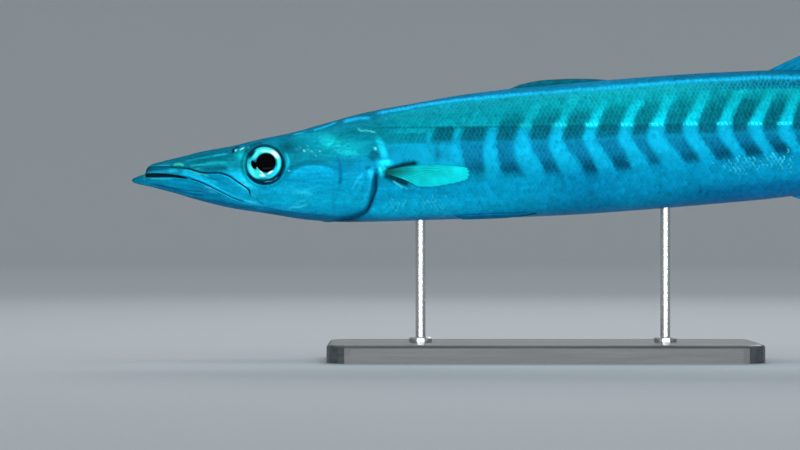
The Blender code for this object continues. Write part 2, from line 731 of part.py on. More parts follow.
def make_base(material):
    """A flat slab with rounded corners, centred under the two rods."""
    middle = sum((rod_foot(name)[0] for name in ROD_STATIONS), Vector()) / len(ROD_STATIONS)
    length, width, height = BASE_SIZE
    outline = []
    for quarter in range(4):
        corner_x = math.copysign(length / 2 - BASE_CORNER, math.cos(math.pi / 4 + quarter * math.pi / 2))
        corner_y = math.copysign(width / 2 - BASE_CORNER, math.sin(math.pi / 4 + quarter * math.pi / 2))
        for k in range(7):
            a = (quarter + k / 6) * math.pi / 2
            x, y = corner_x + BASE_CORNER * math.cos(a), corner_y + BASE_CORNER * math.sin(a)
            outline.append((middle.x + x, y))
    bm = bmesh.new()
    bottom = bm.faces.new([bm.verts.new((x, y, 0.0)) for x, y in outline])
    raised = bmesh.ops.extrude_face_region(bm, geom=[bottom])["geom"]
    top = [v for v in raised if isinstance(v, bmesh.types.BMVert)]
    bmesh.ops.translate(bm, vec=(0.0, 0.0, height), verts=top)
    lid = [f for f in raised if isinstance(f, bmesh.types.BMFace)][0]
    bmesh.ops.bevel(
        bm, geom=list(lid.edges), offset=BASE_BEVEL, segments=2, profile=0.5, affect="EDGES", material=-1,
    )
    return add_object("stand_base", bm, material)


def main():
    for obj in list(bpy.data.objects):
        bpy.data.objects.remove(obj)

    skin = finish("silvery skin", (0.010, 0.330, 0.470), 0.38, 0.45)
    jaw_skin = finish("jaw skin", (0.008, 0.290, 0.440), 0.38, 0.45)
    fin_skin = finish("fin membrane", (0.010, 0.270, 0.420), 0.45, 0.1)
    pale_fin = finish("breast fin membrane", (0.010, 0.640, 0.700), 0.45, 0.1)
    eye_glass = finish("eye", (0.060, 0.740, 0.780), 0.12, 0.3)
    lacquer = finish("lacquered wood", (0.030, 0.032, 0.036), 0.35, 0.0)
    steel = finish("satin steel", (0.600, 0.610, 0.620), 0.30, 1.0)

    jaw = make_head(skin)
    jaw.data.materials[0] = jaw_skin
    make_eye("eye_left", -1, eye_glass)
    make_eye("eye_right", 1, eye_glass)
    boolean(make_shoulder(skin), "DIFFERENCE", [rod_hole("stand_rod_front")])
    rear = trunk_part("trunk_rear", TRUNK_SPLIT + GAP, STALK_START, 12, skin)
    boolean(rear, "DIFFERENCE", [rod_hole("stand_rod_rear")])
    trunk_part("tail_stalk", STALK_START + GAP, STALK_END, 9, skin)

    make_first_dorsal(fin_skin)
    soft_dorsal = [median_ray(i, SOFT_DORSAL_START, BACK, 1) for i in range(MEDIAN_RAYS)]
    make_fin("second_dorsal_fin", soft_dorsal, 5, upright, fin_skin)
    anal = [median_ray(i, ANAL_START, BELLY, -1) for i in range(MEDIAN_RAYS)]
    make_fin("anal_fin", anal, 5, upright, fin_skin)
    make_tail_lobe("tail_fin_upper", 1, fin_skin)
    make_tail_lobe("tail_fin_lower", -1, fin_skin)
    for name, side in (("left", -1), ("right", 1)):
        make_pectoral(f"pectoral_fin_{name}", side, pale_fin)
        make_pelvic(f"pelvic_fin_{name}", side, fin_skin)

    make_base(lacquer)
    for name in ROD_STATIONS:
        rod_profile(name, steel)


main()
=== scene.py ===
"""Looks of a life-size chevron barracuda on a plain two-rod display stand.

The fish is drawn in its own frame: s runs back from the tip of the lower jaw along the body's axis,
y runs across it with the fish's left side at -y, and h runs up. place() sets that frame above the
stand. Sizes are in metres, apart from the points inside mm() and the marks of the head, which are in
millimetres.
"""

import math

import bmesh
import bpy
import numpy as np
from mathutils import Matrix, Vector


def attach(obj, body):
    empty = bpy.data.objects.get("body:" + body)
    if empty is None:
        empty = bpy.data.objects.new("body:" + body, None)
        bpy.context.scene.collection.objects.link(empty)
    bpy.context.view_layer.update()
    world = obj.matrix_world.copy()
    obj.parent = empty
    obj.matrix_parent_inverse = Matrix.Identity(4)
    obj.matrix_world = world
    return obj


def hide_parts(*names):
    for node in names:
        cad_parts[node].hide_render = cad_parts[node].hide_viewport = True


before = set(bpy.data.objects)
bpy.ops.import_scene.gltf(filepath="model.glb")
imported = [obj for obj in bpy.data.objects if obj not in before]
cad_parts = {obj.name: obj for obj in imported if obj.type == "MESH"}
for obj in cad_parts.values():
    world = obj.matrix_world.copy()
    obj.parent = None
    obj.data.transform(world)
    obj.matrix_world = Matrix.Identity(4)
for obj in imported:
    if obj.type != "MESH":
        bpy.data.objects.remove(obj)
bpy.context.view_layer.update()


def mm(*pairs):
    """Pairs of sizes that are given in millimetres, in metres."""
    return tuple((first / 1000, second / 1000) for first, second in pairs)


# ---- The whole fish, in the same sizes as its solids ----

PITCH = math.radians(4.0)
STALK_END = 0.893
TAIL_TIP = 1.0365
TAIL_HALF_SPAN = 0.096
JAW_TIP_HEIGHT = 0.180
GAP = 0.0003
COAT = 0.0006  # depth of the scales: the skin lies this far inside the solids

# Outlines and half width, as (distance back, size).
BACK = mm(
    (0, 0.2), (2, 2.2), (8, 4.4), (13, 5.6), (15, 10.5), (19, 14.5), (30, 16.8), (50, 20.3), (70, 23.8),
    (100, 27.2), (130, 32.2), (160, 36.2), (190, 42), (240, 51.8), (285, 57), (345, 63), (420, 66), (550, 67.3),
    (640, 65.5), (730, 57.5), (810, 44.5), (870, 36), (895, 34.5),
)
BELLY = mm(
    (0, -1.2), (2, -3.6), (10, -6.4), (20, -9.2), (37, -14.8), (60, -23.6), (95, -35), (135, -44.1), (175, -53),
    (214, -57.5), (320, -62), (460, -66), (620, -64.1), (700, -59.2), (780, -48.5), (850, -37.8), (895, -34.5),
)
HALF_WIDTH = mm(
    (0, 1), (2, 3.4), (10, 5.8), (20, 8.5), (50, 13.5), (90, 19.5), (130, 26.2), (190, 35), (240, 41.2), (330, 46),
    (460, 48.5), (580, 47.5), (680, 41), (770, 29), (840, 18.5), (880, 8.5), (895, 2.6),
)
# How square the section is above and below its widest level, and where between belly and back that level is.
UPPER_SQUARENESS = ((0.00, 2.0), (0.06, 2.2), (0.13, 2.9), (0.20, 2.5), (0.30, 2.15), (0.895, 2.0))
LOWER_SQUARENESS = ((0.00, 2.0), (0.13, 2.0), (0.24, 2.2), (0.895, 2.0))
WIDEST_SHARE = ((0.00, 0.5), (0.10, 0.60), (0.16, 0.58), (0.24, 0.52), (0.895, 0.5))

# Edge of the gill cover: angle down from the back in degrees, and how far back the edge lies there.
GILL_EDGE = (
    (0, 0.2425), (60, 0.2440), (88, 0.2425), (110, 0.2425), (127, 0.2370),
    (144, 0.2305), (156, 0.2170), (166, 0.2020), (180, 0.1900),
)
GILL_STATION = 0.2425
GILL_FLARE, GILL_TUCK, GILL_REACH = 0.0009, 0.0016, 0.009

MOUTH_LINE = mm(
    (15, 3.1), (23, 2.9), (38, 1.5), (48, -0.3), (58, -2.9), (68, -6.8), (77.5, -11.8), (88, -18.1), (99.5, -25),
    (112, -30.5),
)
MOUTH_HALF_OPENING = mm(
    (14.5, 1), (17.5, 1.8), (21.5, 2.1), (30, 1.8), (38, 1.5), (48, 1), (56, 0.6), (68, 0.3), (112, 0.2),
)
UPPER_JAW_START = 0.0143
MOUTH_DEPTH_SHARE = 0.62  # of the half width, where the mouth stands open
LIP_RADIUS = 0.0017

# Edges of the head's plates, as (distance back, height) on the flank.
CHEEK_PLATE_EDGE = mm(
    (43.8, 9.6), (50.1, 8.5), (56.8, 7.4), (64.3, 4.6), (69.7, 2.6), (77.4, 1.3), (86.2, 0.9), (91.5, -0.2),
    (94.9, -1.6), (100.2, -4.5), (104.9, -8.7), (110.7, -13), (116.5, -18), (117.6, -21), (117.8, -25.6),
)
CHEEK_BONE_EDGE = mm((208.3, 4.4), (209.2, -4.7), (208.7, -11.7), (207.1, -20.6), (202.1, -34.3), (190.3, -45.5))
JAW_FOLD = mm((17.7, -5.3), (32.4, -9.8), (47.2, -13.3), (58, -15.6), (70, -17), (81, -17.6))
THROAT_FOLD = mm((115.9, -34.2), (135.6, -39.1), (155.3, -44), (175.1, -47.9), (194.9, -50.8), (211, -52.5))
# Folds and bony edges: (line, depth, width, darkness of the shade painted in it).
FOLDS = ((CHEEK_BONE_EDGE, 0.0003, 0.0018, 0.10), (JAW_FOLD, 0.0006, 0.0016, 0.35), (THROAT_FOLD, 0.0007, 0.0014, 0.25))

EYE = (0.1345, 0.0055)
EYE_RADIUS = 0.0184
EYE_HALF_DEPTH = 0.0068
EYE_SUNK = 0.0012
RIM_RADIUS = 0.0212
# Nostrils: distance back, height and radius.
NOSTRILS = ((0.1037, 0.0218, 0.0016), (0.0975, 0.0212, 0.0007))

# The lateral line, as (distance back, height).
LATERAL_LINE = mm(
    (242, 34.9), (271, 33), (325, 29.2), (369.2, 26.4), (428.3, 23.1), (487.2, 19.4), (565.9, 14.7), (644.6, 9.8),
    (750, 4.8), (830, 1.7), (895, 0.2),
)

AXIS = np.array((math.cos(PITCH), 0.0, math.sin(PITCH)))
ACROSS = np.array((0.0, 1.0, 0.0))
UP = np.array((-math.sin(PITCH), 0.0, math.cos(PITCH)))
OVERALL_LENGTH = TAIL_TIP * AXIS[0] - TAIL_HALF_SPAN * UP[0]
JAW_TIP = np.array((-OVERALL_LENGTH / 2, 0.0, JAW_TIP_HEIGHT))

rng = np.random.default_rng(12)


# ---- Curves and soft steps ----


def place(points):
    """Points (s, y, h) of the fish's frame, one a row, in the row frame."""
    points = np.asarray(points, float)
    return JAW_TIP + points[:, :1] * AXIS + points[:, 1:2] * ACROSS + points[:, 2:] * UP


def smooth(keys, x):
    """Values at x of a smooth curve through the keys that never overshoots them."""
    knots, values = np.array(keys, float).T
    step = np.diff(knots)
    rise = np.diff(values) / step
    slope = np.zeros_like(values)
    slope[0], slope[-1] = rise[0], rise[-1]
    product, total = rise[:-1] * rise[1:], rise[:-1] + rise[1:]
    slope[1:-1] = np.where(product > 0, 2 * product / np.where(total == 0, 1, total), 0.0)
    x = np.clip(np.asarray(x, float), knots[0], knots[-1])
    i = np.clip(np.searchsorted(knots, x) - 1, 0, len(step) - 1)
    t = (x - knots[i]) / step[i]
    return (
        values[i] * (1 + 2 * t) * (1 - t) ** 2
        + slope[i] * step[i] * t * (1 - t) ** 2
        + values[i + 1] * t * t * (3 - 2 * t)
        - slope[i + 1] * step[i] * t * t * (1 - t)
    )


def ease(low, high, x):
    """0 up to low, 1 from high on, and smooth between them. low may be the larger."""
    t = np.clip((np.asarray(x, float) - low) / (high - low), 0.0, 1.0)
    return t * t * (3 - 2 * t)


def curve(points, steps=8):
    """Points of a smooth curve through the given ones."""
    points = np.array(points, float)
    padded = np.vstack((points[:1], points, points[-1:]))
    made = []
    for a, b, c, d in zip(padded, padded[1:], padded[2:], padded[3:]):
        for t in np.arange(steps) / steps:
            made.append(b + 0.5 * t * (c - a + t * (2 * a - 5 * b + 4 * c - d + t * (3 * (b - c) + d - a))))
    return np.array(made + [points[-1]])


def to_line(s, h, line):
    """Distance of each point from a line, on which side of it the point is, and how far along (0 to 1)."""
    best, side, along = np.full(s.shape, np.inf), np.zeros(s.shape), np.zeros(s.shape)
    for i, ((s0, h0), (s1, h1)) in enumerate(zip(line, line[1:])):
        ds, dh = s1 - s0, h1 - h0
        t = np.clip(((s - s0) * ds + (h - h0) * dh) / (ds * ds + dh * dh), 0.0, 1.0)
        off_s, off_h = s - s0 - t * ds, h - h0 - t * dh
        distance = np.hypot(off_s, off_h)
        near = distance < best
        best = np.where(near, distance, best)
        side = np.where(near, np.sign(ds * off_h - dh * off_s), side)
        along = np.where(near, (i + t) / (len(line) - 1), along)
    return best, side, along


def peak(x, middle, width):
    """1 at the middle, fading out on both sides of it."""
    return np.exp(-(((x - middle) / width) ** 2))


def blob(s, h, centre, long, high, turn=0.0):
    """1 in the middle of a soft oval, fading out round it. turn is in degrees."""
    a = math.radians(turn)
    ds, dh = s - centre[0], h - centre[1]
    u, v = (ds * math.cos(a) + dh * math.sin(a)) / long, (dh * math.cos(a) - ds * math.sin(a)) / high
    return np.exp(-(u * u + v * v))


def waver(x, y, size, seed):
    """Soft, seeded variation from about -1 to 1, with lumps of about the given size."""
    turn = np.random.default_rng(seed)
    total = np.zeros(np.broadcast(x, y).shape)
    for _ in range(5):
        angle, phase, stretch = turn.uniform(0, math.tau), turn.uniform(0, math.tau), turn.uniform(0.7, 1.5)
        total += np.sin((x * math.cos(angle) + y * math.sin(angle)) * math.tau / (size * 2 * stretch) + phase)
    return total / 3.2


# ---- The body's surface ----


def section(s):
    """Widest level, rise above it, drop below it, half width and the two squarenesses."""
    top, bottom = smooth(BACK, s), smooth(BELLY, s)
    level = bottom + (top - bottom) * smooth(WIDEST_SHARE, s)
    upper, lower = smooth(UPPER_SQUARENESS, s), smooth(LOWER_SQUARENESS, s)
    return level, top - level, level - bottom, smooth(HALF_WIDTH, s), upper, lower


def height_share(s, h):
    """How far up the body's side each point lies: 0 on the belly's outline and 1 on the back's."""
    top, bottom = smooth(BACK, s), smooth(BELLY, s)
    return (h - bottom) / (top - bottom)


def ring_point(s, angle):
    """Points (s, y, h) of the solids' surface at an angle down from the back, positive on the left."""
    level, rise, drop, half, upper, lower = section(s)
    c, q = np.cos(angle), np.sin(angle)
    power = 2 / np.where(c > 0, upper, lower)
    h = level + np.sign(c) * np.abs(c) ** power * np.where(c > 0, rise, drop)
    y = -np.sign(q) * np.abs(q) ** power * half
    return np.stack((s, y, h), axis=-1)


def ring_normal(s, angle):
    """Outward directions of the surface there, in the fish's frame."""
    step_s, step_a = 0.0004, 0.012
    behind, ahead = (ring_point(np.clip(s + step, 0, STALK_END), angle) for step in (step_s, -step_s))
    around = ring_point(s, angle + step_a) - ring_point(s, angle - step_a)
    out = np.cross(around, behind - ahead)
    point = ring_point(s, angle)
    away = point[..., 1] * out[..., 1] + (point[..., 2] - section(s)[0]) * out[..., 2]
    out *= np.where(away < 0, -1.0, 1.0)[..., None]
    return out / np.maximum(np.linalg.norm(out, axis=-1, keepdims=True), 1e-12)


def flank_at_height(s, h, side, lift=0.0):
    """Points of the flank at height h, lifted off the surface. side is -1 on the left and 1 on the right."""
    level, rise, drop, half, upper, lower = section(s)
    above = h > level
    power, reach = np.where(above, upper, lower), np.where(above, rise, drop)
    inside = np.maximum(1e-6, 1 - np.minimum(1.0, np.abs(h - level) / reach) ** power)
    y = side * half * inside ** (1 / power)
    out_y = np.sign(y) * (np.abs(y) / half) ** (power - 1) / half
    out_h = np.sign(h - level) * (np.abs(h - level) / reach) ** (power - 1) / reach
    size = np.hypot(out_y, out_h)
    return np.stack((s, y + lift * out_y / size, h + lift * out_h / size), axis=-1)


# Rows of scales run from the back (0) past the lateral line to the middle of the belly.
ROWS_OVER_LINE, ROWS_UNDER_LINE = 16, 28
ROWS = ROWS_OVER_LINE + ROWS_UNDER_LINE
TABLE_S = np.linspace(0.0, STALK_END, 720)
TABLE_ROW = np.linspace(0.0, ROWS, ROWS * 6 + 1)


def row_table():
    """Angle down from the back for each station and each row of scales."""
    angles = np.linspace(0.0, math.pi, 361)
    table = np.empty((len(TABLE_S), len(TABLE_ROW)))
    first = np.searchsorted(TABLE_S, LATERAL_LINE[0][0])
    share = None
    # In front of the lateral line its share of the girth stays what it is where the line starts.
    for i in [*range(first, len(TABLE_S)), *range(first)]:
        s = TABLE_S[i]
        ring = ring_point(np.full(angles.shape, s), angles)
        arc = np.concatenate(([0.0], np.cumsum(np.hypot(*np.diff(ring[:, 1:], axis=0).T))))
        if i >= first:
            line = np.interp(-smooth(LATERAL_LINE, s), -ring[:, 2], arc)
            share = line / arc[-1] if share is None else share
        else:
            line = share * arc[-1]
        wanted = np.interp(TABLE_ROW, (0, ROWS_OVER_LINE, ROWS), (0, line, arc[-1]))
        table[i] = np.interp(wanted, arc, angles)
    return table


ROW_ANGLE = row_table()


def row_angle(s, row):
    """Angle down from the back, negative for the right side's negative rows."""
    i = np.clip(s / STALK_END * (len(TABLE_S) - 1), 0, len(TABLE_S) - 1.001)
    j = np.clip(np.abs(row) / ROWS * (len(TABLE_ROW) - 1), 0, len(TABLE_ROW) - 1.001)
    i0, j0 = i.astype(int), j.astype(int)
    a, b = i - i0, j - j0
    angle = (
        ROW_ANGLE[i0, j0] * (1 - a) * (1 - b) + ROW_ANGLE[i0 + 1, j0] * a * (1 - b)
        + ROW_ANGLE[i0, j0 + 1] * (1 - a) * b + ROW_ANGLE[i0 + 1, j0 + 1] * a * b
    )
    return np.sign(row) * angle


def gill_edge(angle):
    """How far back the gill cover's edge lies at an angle."""
    return smooth(GILL_EDGE, np.degrees(np.abs(angle)))


def gill_free(angle):
    """1 where the gill cover's edge is free, 0 on the nape where skin runs on."""
    return ease(90.0, 106.0, np.degrees(np.abs(angle)))


def gill_tuck(angle):
    """How deep the shoulder is sunk behind the gill cover: most where its edge is free, little on the nape."""
    return GILL_TUCK * (0.15 + 0.85 * gill_free(angle))


# ---- Colours ----


def linear(text):
    """Linear red, green and blue of an sRGB hex colour."""
    parts = np.array([int(text[i:i + 2], 16) for i in (0, 2, 4)]) / 255
    return np.where(parts <= 0.04045, parts / 12.92, ((parts + 0.055) / 1.055) ** 2.4)


def rgba(text):
    """The same with its alpha, as a socket takes it."""
    return (*linear(text), 1.0)


# Side of the body from the belly (0) to the back (1), between the bars.
# Painted shade darkens the lowest stops towards the belly and the top ones over the dark back.
FLANK_COLOURS = (
    (0.00, "0a86ba"), (0.03, "0a9cd2"), (0.08, "08aede"), (0.14, "06a9d8"), (0.22, "049fcb"), (0.32, "04a0cc"),
    (0.42, "0392b8"), (0.54, "0394b4"), (0.64, "04a0b6"), (0.72, "06b4c3"), (0.80, "07bfcc"), (0.88, "06b8c6"),
    (0.925, "05b0c4"), (0.945, "0390b2"), (0.97, "0280aa"), (1.00, "0276a0"),
)
# The same on the head, where bright cheeks lie under a darker crown.
# Painted shade darkens the lowest stops along the jaw and throat and the top ones along the crown.
HEAD_COLOURS = (
    (0.00, "0470a0"), (0.045, "058ab8"), (0.09, "07a6d6"), (0.18, "07aed4"), (0.30, "0499c1"), (0.42, "028bb0"),
    (0.54, "027fa6"), (0.60, "027890"), (0.66, "02758a"), (0.80, "037c8e"), (0.90, "0488a0"), (0.95, "037896"),
    (1.00, "026c8c"),
)
BAR_UPPER, BAR_UNDER_LINE, BAR_LOWER, BAR_END = "014c58", "01404e", "02587a", "01344c"
# Painted shade for creases and for the open mouth, and the colour of painted glints.
CREASE_SHADE, MOUTH_SHADE, GLINT_COLOUR = "033452", "01070b", "8df6f0"
# A wet surface mirrors little, and blue as all around it is.
WET_GLOSS = {"Specular IOR Level": 0.15, "Specular Tint": rgba("58c6f0")}
# A painted highlight runs along the back as a bright azure line, under the dark top of the back.
BACK_HIGHLIGHT_LINE = mm(
    (252.1, 49), (272.3, 51.2), (312.7, 55), (373.1, 57.2), (473.3, 57.8), (553.6, 58.5), (633.7, 57.3),
    (673.4, 54.2), (730, 48.8), (810, 36.6), (870, 28.5), (895, 26.6),
)
# Distance back of each pale bar where it crosses the lateral line, and its half width there.
PALE_BARS = np.array((
    301.2, 330.5, 362.5, 394.1, 427.6, 459.5, 493.7, 523.2, 556.6, 589.6, 620.4, 649.5, 677, 703, 728.5, 753, 776.5,
    799, 821, 842, 862, 881, 900,
)) / 1000
PALE_HALF = mm(
    (300, 3), (330, 3.6), (362, 4.7), (394, 5.3), (460, 5.7), (500, 5.9), (523, 6.6), (557, 7), (620, 6.9),
    (750, 5.7), (900, 4),
)
# Pale bars widen away from the line: (height over the line, added half width).
PALE_SPREAD = mm(
    (-36, 3.6), (-24, 2.2), (-18, 1.5), (-12, 0.9), (-8, 0.4), (0, 0), (8, -0.8), (16, -0.2), (24, 0.4),
)
# Each bar is a chevron with its point towards the head: (height over the line, how far back the bar lies there).
LEAN_FRONT = mm(
    (-48, 7.8), (-42, 5.3), (-36, 2.6), (-30, 0), (-24, -2.4), (-18, -4.3), (-12, -4.7), (-8, -3.6), (-4, -2),
    (0, 0), (8, 4.5), (40, 22.5),
)
LEAN_MIDDLE = mm(
    (-48, 13), (-42, 10.5), (-36, 8), (-30, 5.1), (-24, 1.6), (-18, -2), (-12, -3.8), (-8, -2.7), (-4, -1.3),
    (0, 0), (8, 3.7), (16, 8.3), (40, 23),
)
LEAN_REAR = mm(
    (-42, 20), (-30, 12.5), (-24, 8.8), (-18, 4.8), (-12, 1.2), (-8, -0.4), (-4, -0.6), (0, 0), (8, 3.4), (16, 7.9),
    (40, 23.5),
)
# Strength of the dark end of each bar, by the distance back of the bar.
END_STRENGTH = (
    (0.330, 0.00), (0.347, 0.45), (0.378, 0.70), (0.411, 0.65), (0.443, 0.95), (0.477, 0.90), (0.508, 0.45),
    (0.540, 0.60), (0.573, 0.85), (0.605, 1.00), (0.635, 1.05), (0.800, 0.80),
)
# How far the bars reach above the line, how deep the dark zone under it is, and the middle of each bar's dark foot.
BAR_TOP = mm(
    (350, 8), (375, 15), (410, 18), (447, 21), (483, 24), (513, 28), (547, 31), (620, 33), (760, 24), (880, 14),
)
ZONE_DEPTH = mm((280, 15.2), (430, 15), (510, 11), (570, 10), (650, 8), (880, 4))
BAR_FOOT = mm(
    (310, 30), (345, 44), (460, 44), (480, 41), (510, 38), (550, 35), (580, 32), (610, 29), (640, 26.5), (760, 20),
    (880, 11),
)

# A weak spot under the first bar, painted shadow above the breast fin, and a few small dark flecks low on the side:
# (strength, middle, half length, half height).
SPOTS = (
    (0.65, (0.3055, 0.0035), 0.004, 0.007), (0.45, (0.2630, 0.0080), 0.010, 0.006),
    (0.40, (0.2720, 0.0030), 0.016, 0.006), (0.6, (0.5233, -0.0426), 0.0018, 0.0022),
    (0.5, (0.5629, -0.0494), 0.0015, 0.0050), (0.4, (0.3436, -0.0461), 0.0018, 0.0026),
    (0.25, (0.4550, -0.0440), 0.004, 0.008),
)
# Rear edge of the head's colours: (depth under the axis, distance back).
HEAD_PAINT_EDGE = (
    (-0.06, 0.262), (-0.02, 0.262), (-0.005, 0.2460), (0.012, 0.2442), (0.033, 0.2388), (0.0425, 0.2346),
    (0.0491, 0.2291), (0.0545, 0.2208),
)
# Wrinkled silver on the crown and above the cheek: (strength, middle, half length, half height, slope).
# The silver's glints are painted highlights.
SILVER_GLINTS = (
    (1.00, (0.2000, 0.0240), 0.009, 0.0055, 0.0), (0.55, (0.2120, 0.0190), 0.011, 0.0075, 0.0),
    (0.85, (0.2160, 0.0125), 0.011, 0.0036, 0.25),
)


def ramp(stops, x):
    """Colours at x of a row of stops, each as (place, sRGB hex)."""
    knots = [stop[0] for stop in stops]
    colours = np.array([linear(stop[1]) for stop in stops])
    return np.stack([np.interp(x, knots, colours[:, k]) for k in range(3)], axis=-1)


def paint_over(colour, *layers):
    """The colour with tints laid over it one after another, each as (sRGB hex, how strongly)."""
    for tint, share in layers:
        colour = mix(colour, linear(tint), share)
    return colour


def mix(under, over, share):
    """One colour laid over another, by a share from 0 to 1 for each point."""
    return under + (over - under) * np.clip(share, 0.0, 1.0)[..., None]


def nearest_bar(s):
    """Distance back of the pale bar that lies nearest."""
    return PALE_BARS[np.rint(np.interp(s, PALE_BARS, np.arange(len(PALE_BARS)))).astype(int)]


def bar_layers(s, h, pigment):
    """The chevron bars, as layers for paint_over."""
    over = h - smooth(LATERAL_LINE, s)
    under = np.maximum(0.0, -over)
    lean = smooth(LEAN_FRONT, over)
    lean = lean - 0.35 * np.maximum(0.0, under - 0.014) * ease(0.405, 0.365, s)
    lean = lean + (smooth(LEAN_MIDDLE, over) - lean) * ease(0.425, 0.455, s)
    lean = lean + (smooth(LEAN_REAR, over) - lean) * ease(0.490, 0.570, s)
    at = s - lean + 0.0010 * waver(s, h, 0.018, 3)
    off = np.abs(at - nearest_bar(at))
    half = smooth(PALE_HALF, at) + smooth(PALE_SPREAD, over) * ease(0.30, 0.38, at) * ease(0.60, 0.50, at)
    half = half - 0.0012 * ease(0.002, 0.010, over) * ease(0.49, 0.55, at)
    dark = ease(half - 0.0034, half + 0.0034, off)
    bar_top, zone, foot = smooth(BAR_TOP, s), smooth(ZONE_DEPTH, s), smooth(BAR_FOOT, s)

    # Over the lateral line.
    upper = dark * ease(bar_top + 0.010, bar_top - 0.012, over) * ease(-0.0006, 0.0006, over) * ease(0.345, 0.374, at)
    pale_upper = (1 - dark) * ease(bar_top + 0.004, bar_top - 0.012, over) * ease(0.0, 0.002, over)
    pale_upper *= ease(0.40, 0.47, at)
    strong = 0.78 + 0.20 * ease(0.52, 0.62, s) - 0.30 * ease(0.2, 1.0, over / bar_top)
    # Close under it.
    zone_dark = dark * ease(0.0006, -0.0006, over) * ease(zone + 0.0040, zone - 0.0035, under) * ease(0.295, 0.301, at)
    # Down to the foot of each bar, and its dark end.
    lower = dark * ease(zone - 0.0035, zone + 0.0040, under) * ease(foot + 0.006, foot - 0.002, under)
    lower *= 0.35 * ease(0.296, 0.326, at) + 0.65 * ease(0.326, 0.342, at)
    pale_lower = (1 - dark) * ease(0.0, 0.003, under) * ease(foot + 0.010, foot - 0.010, under) * ease(0.320, 0.335, at)
    ends = ease(half - 0.0026, half + 0.0030, off) * peak(under, foot - 0.002, 0.0085) * smooth(END_STRENGTH, at)
    # A dark zone in front of the first bar.
    front = ease(0.0055, 0.0075, under) * ease(0.0175, 0.0155, under) * ease(0.244, 0.256, s) * ease(0.300, 0.290, s)

    speckled = 0.76 + 0.24 * pigment
    return (
        ("05d6ec", (0.75 - 0.35 * ease(0.50, 0.60, s)) * pale_upper * ease(0.36, 0.46, s)),
        ("0494b8", 0.60 * pale_lower * ease(0.33, 0.36, s)),
        (BAR_UPPER, strong * upper * speckled),
        (BAR_UNDER_LINE, 0.92 * zone_dark * speckled),
        (BAR_LOWER, (0.93 + 0.03 * ease(0.52, 0.60, s)) * lower * speckled),
        (BAR_END, 0.86 * ends * speckled),
        (BAR_UNDER_LINE, 0.58 * front * speckled),
    )


def flank_paint(s, h, pigment):
    """Colour of the trunk between the gill cover and the tail."""
    share = height_share(s, h)
    colour = ramp(FLANK_COLOURS, share + 0.010 * waver(s, h, 0.05, 5) * ease(0.9, 0.8, share))
    # The front of the flank is plainer and duller than the middle, and the rear of it bluer below.
    colour = paint_over(
        colour,
        ("0499ac", 0.75 * ease(0.46, 0.34, s) * ease(0.60, 0.70, share) * ease(0.94, 0.90, share)),
        ("0394ba", 0.85 * ease(0.47, 0.36, s) * ease(0.40, 0.50, share) * ease(0.72, 0.62, share)),
        ("0388a8", 0.80 * ease(0.42, 0.34, s) * ease(0.26, 0.34, share) * ease(0.70, 0.60, share)),
        ("0cc6f8", 0.80 * ease(0.39, 0.33, s) * ease(0.20, 0.11, share) * ease(0.02, 0.06, share)),
        ("037cae", 0.65 * ease(0.38, 0.46, s) * (1 - 0.55 * ease(0.44, 0.50, s)) * ease(0.42, 0.30, share)),
        ("0270aa", 0.85 * ease(0.48, 0.60, s) * ease(0.20, 0.08, share)),
        ("0692c6", 0.60 * peak(s, 0.462, 0.030) * ease(0.20, 0.06, share)),
        # Painted shade over the top of the back towards the rear.
        ("026186", 0.60 * ease(0.49, 0.57, s) * ease(0.95, 0.965, share)),
        ("0290ba", 0.55 * ease(0.31, 0.35, s) * ease(0.44, 0.52, share) * ease(0.68, 0.60, share)),
    )
    colour = colour * (1 + 0.05 * waver(s, h * 1.6, 0.016, 7))[..., None]
    colour = paint_over(colour, *bar_layers(s, h, pigment))
    colour = paint_over(
        colour, *((BAR_END, strength * blob(s, h, centre, long, high)) for strength, centre, long, high in SPOTS),
    )
    # Fine dark pigment in the middle of each scale of the upper side, strongest in a blue strip under the painted
    # highlight.
    strip = ease(0.013, 0.009, smooth(BACK_HIGHLIGHT_LINE, s) - h) * ease(0.54, 0.64, s) * ease(0.95, 0.90, share)
    grid = 0.22 * ease(0.60, 0.74, share) * ease(0.95, 0.90, share)
    return paint_over(colour, ("0596bc", 0.70 * strip), ("024f6c", (grid + 0.55 * strip) * pigment))


def lateral_line_and_highlight(colour, s, h):
    """The lateral line, dark in the bars and bright between them, and the painted highlight along the back."""
    over = h - smooth(LATERAL_LINE, s)
    pale = ease(0.0085, 0.0055, np.abs(s - nearest_bar(s))) * (0.35 * ease(0.38, 0.39, s) + 0.65 * ease(0.41, 0.45, s))
    away = np.abs(h - smooth(BACK_HIGHLIGHT_LINE, s)) / (1 + 0.15 * waver(s, h, 0.004, 15))
    beads = 0.82 + 0.18 * np.sin(s * math.tau / 0.0041)
    return paint_over(
        colour,
        (BAR_UNDER_LINE, 0.60 * (1 - pale) * ease(0.0013, 0.0004, np.abs(over + 0.0004)) * ease(0.247, 0.255, s)),
        ("1cf0f8", 0.90 * pale * ease(0.0018, 0.0005, np.abs(over - 0.0006))),
        # Painted highlight along the back, beaded along its length.
        ("1cc4fa", beads * ease(0.0021, 0.0009, away) * ease(0.246, 0.256, s)),
    )


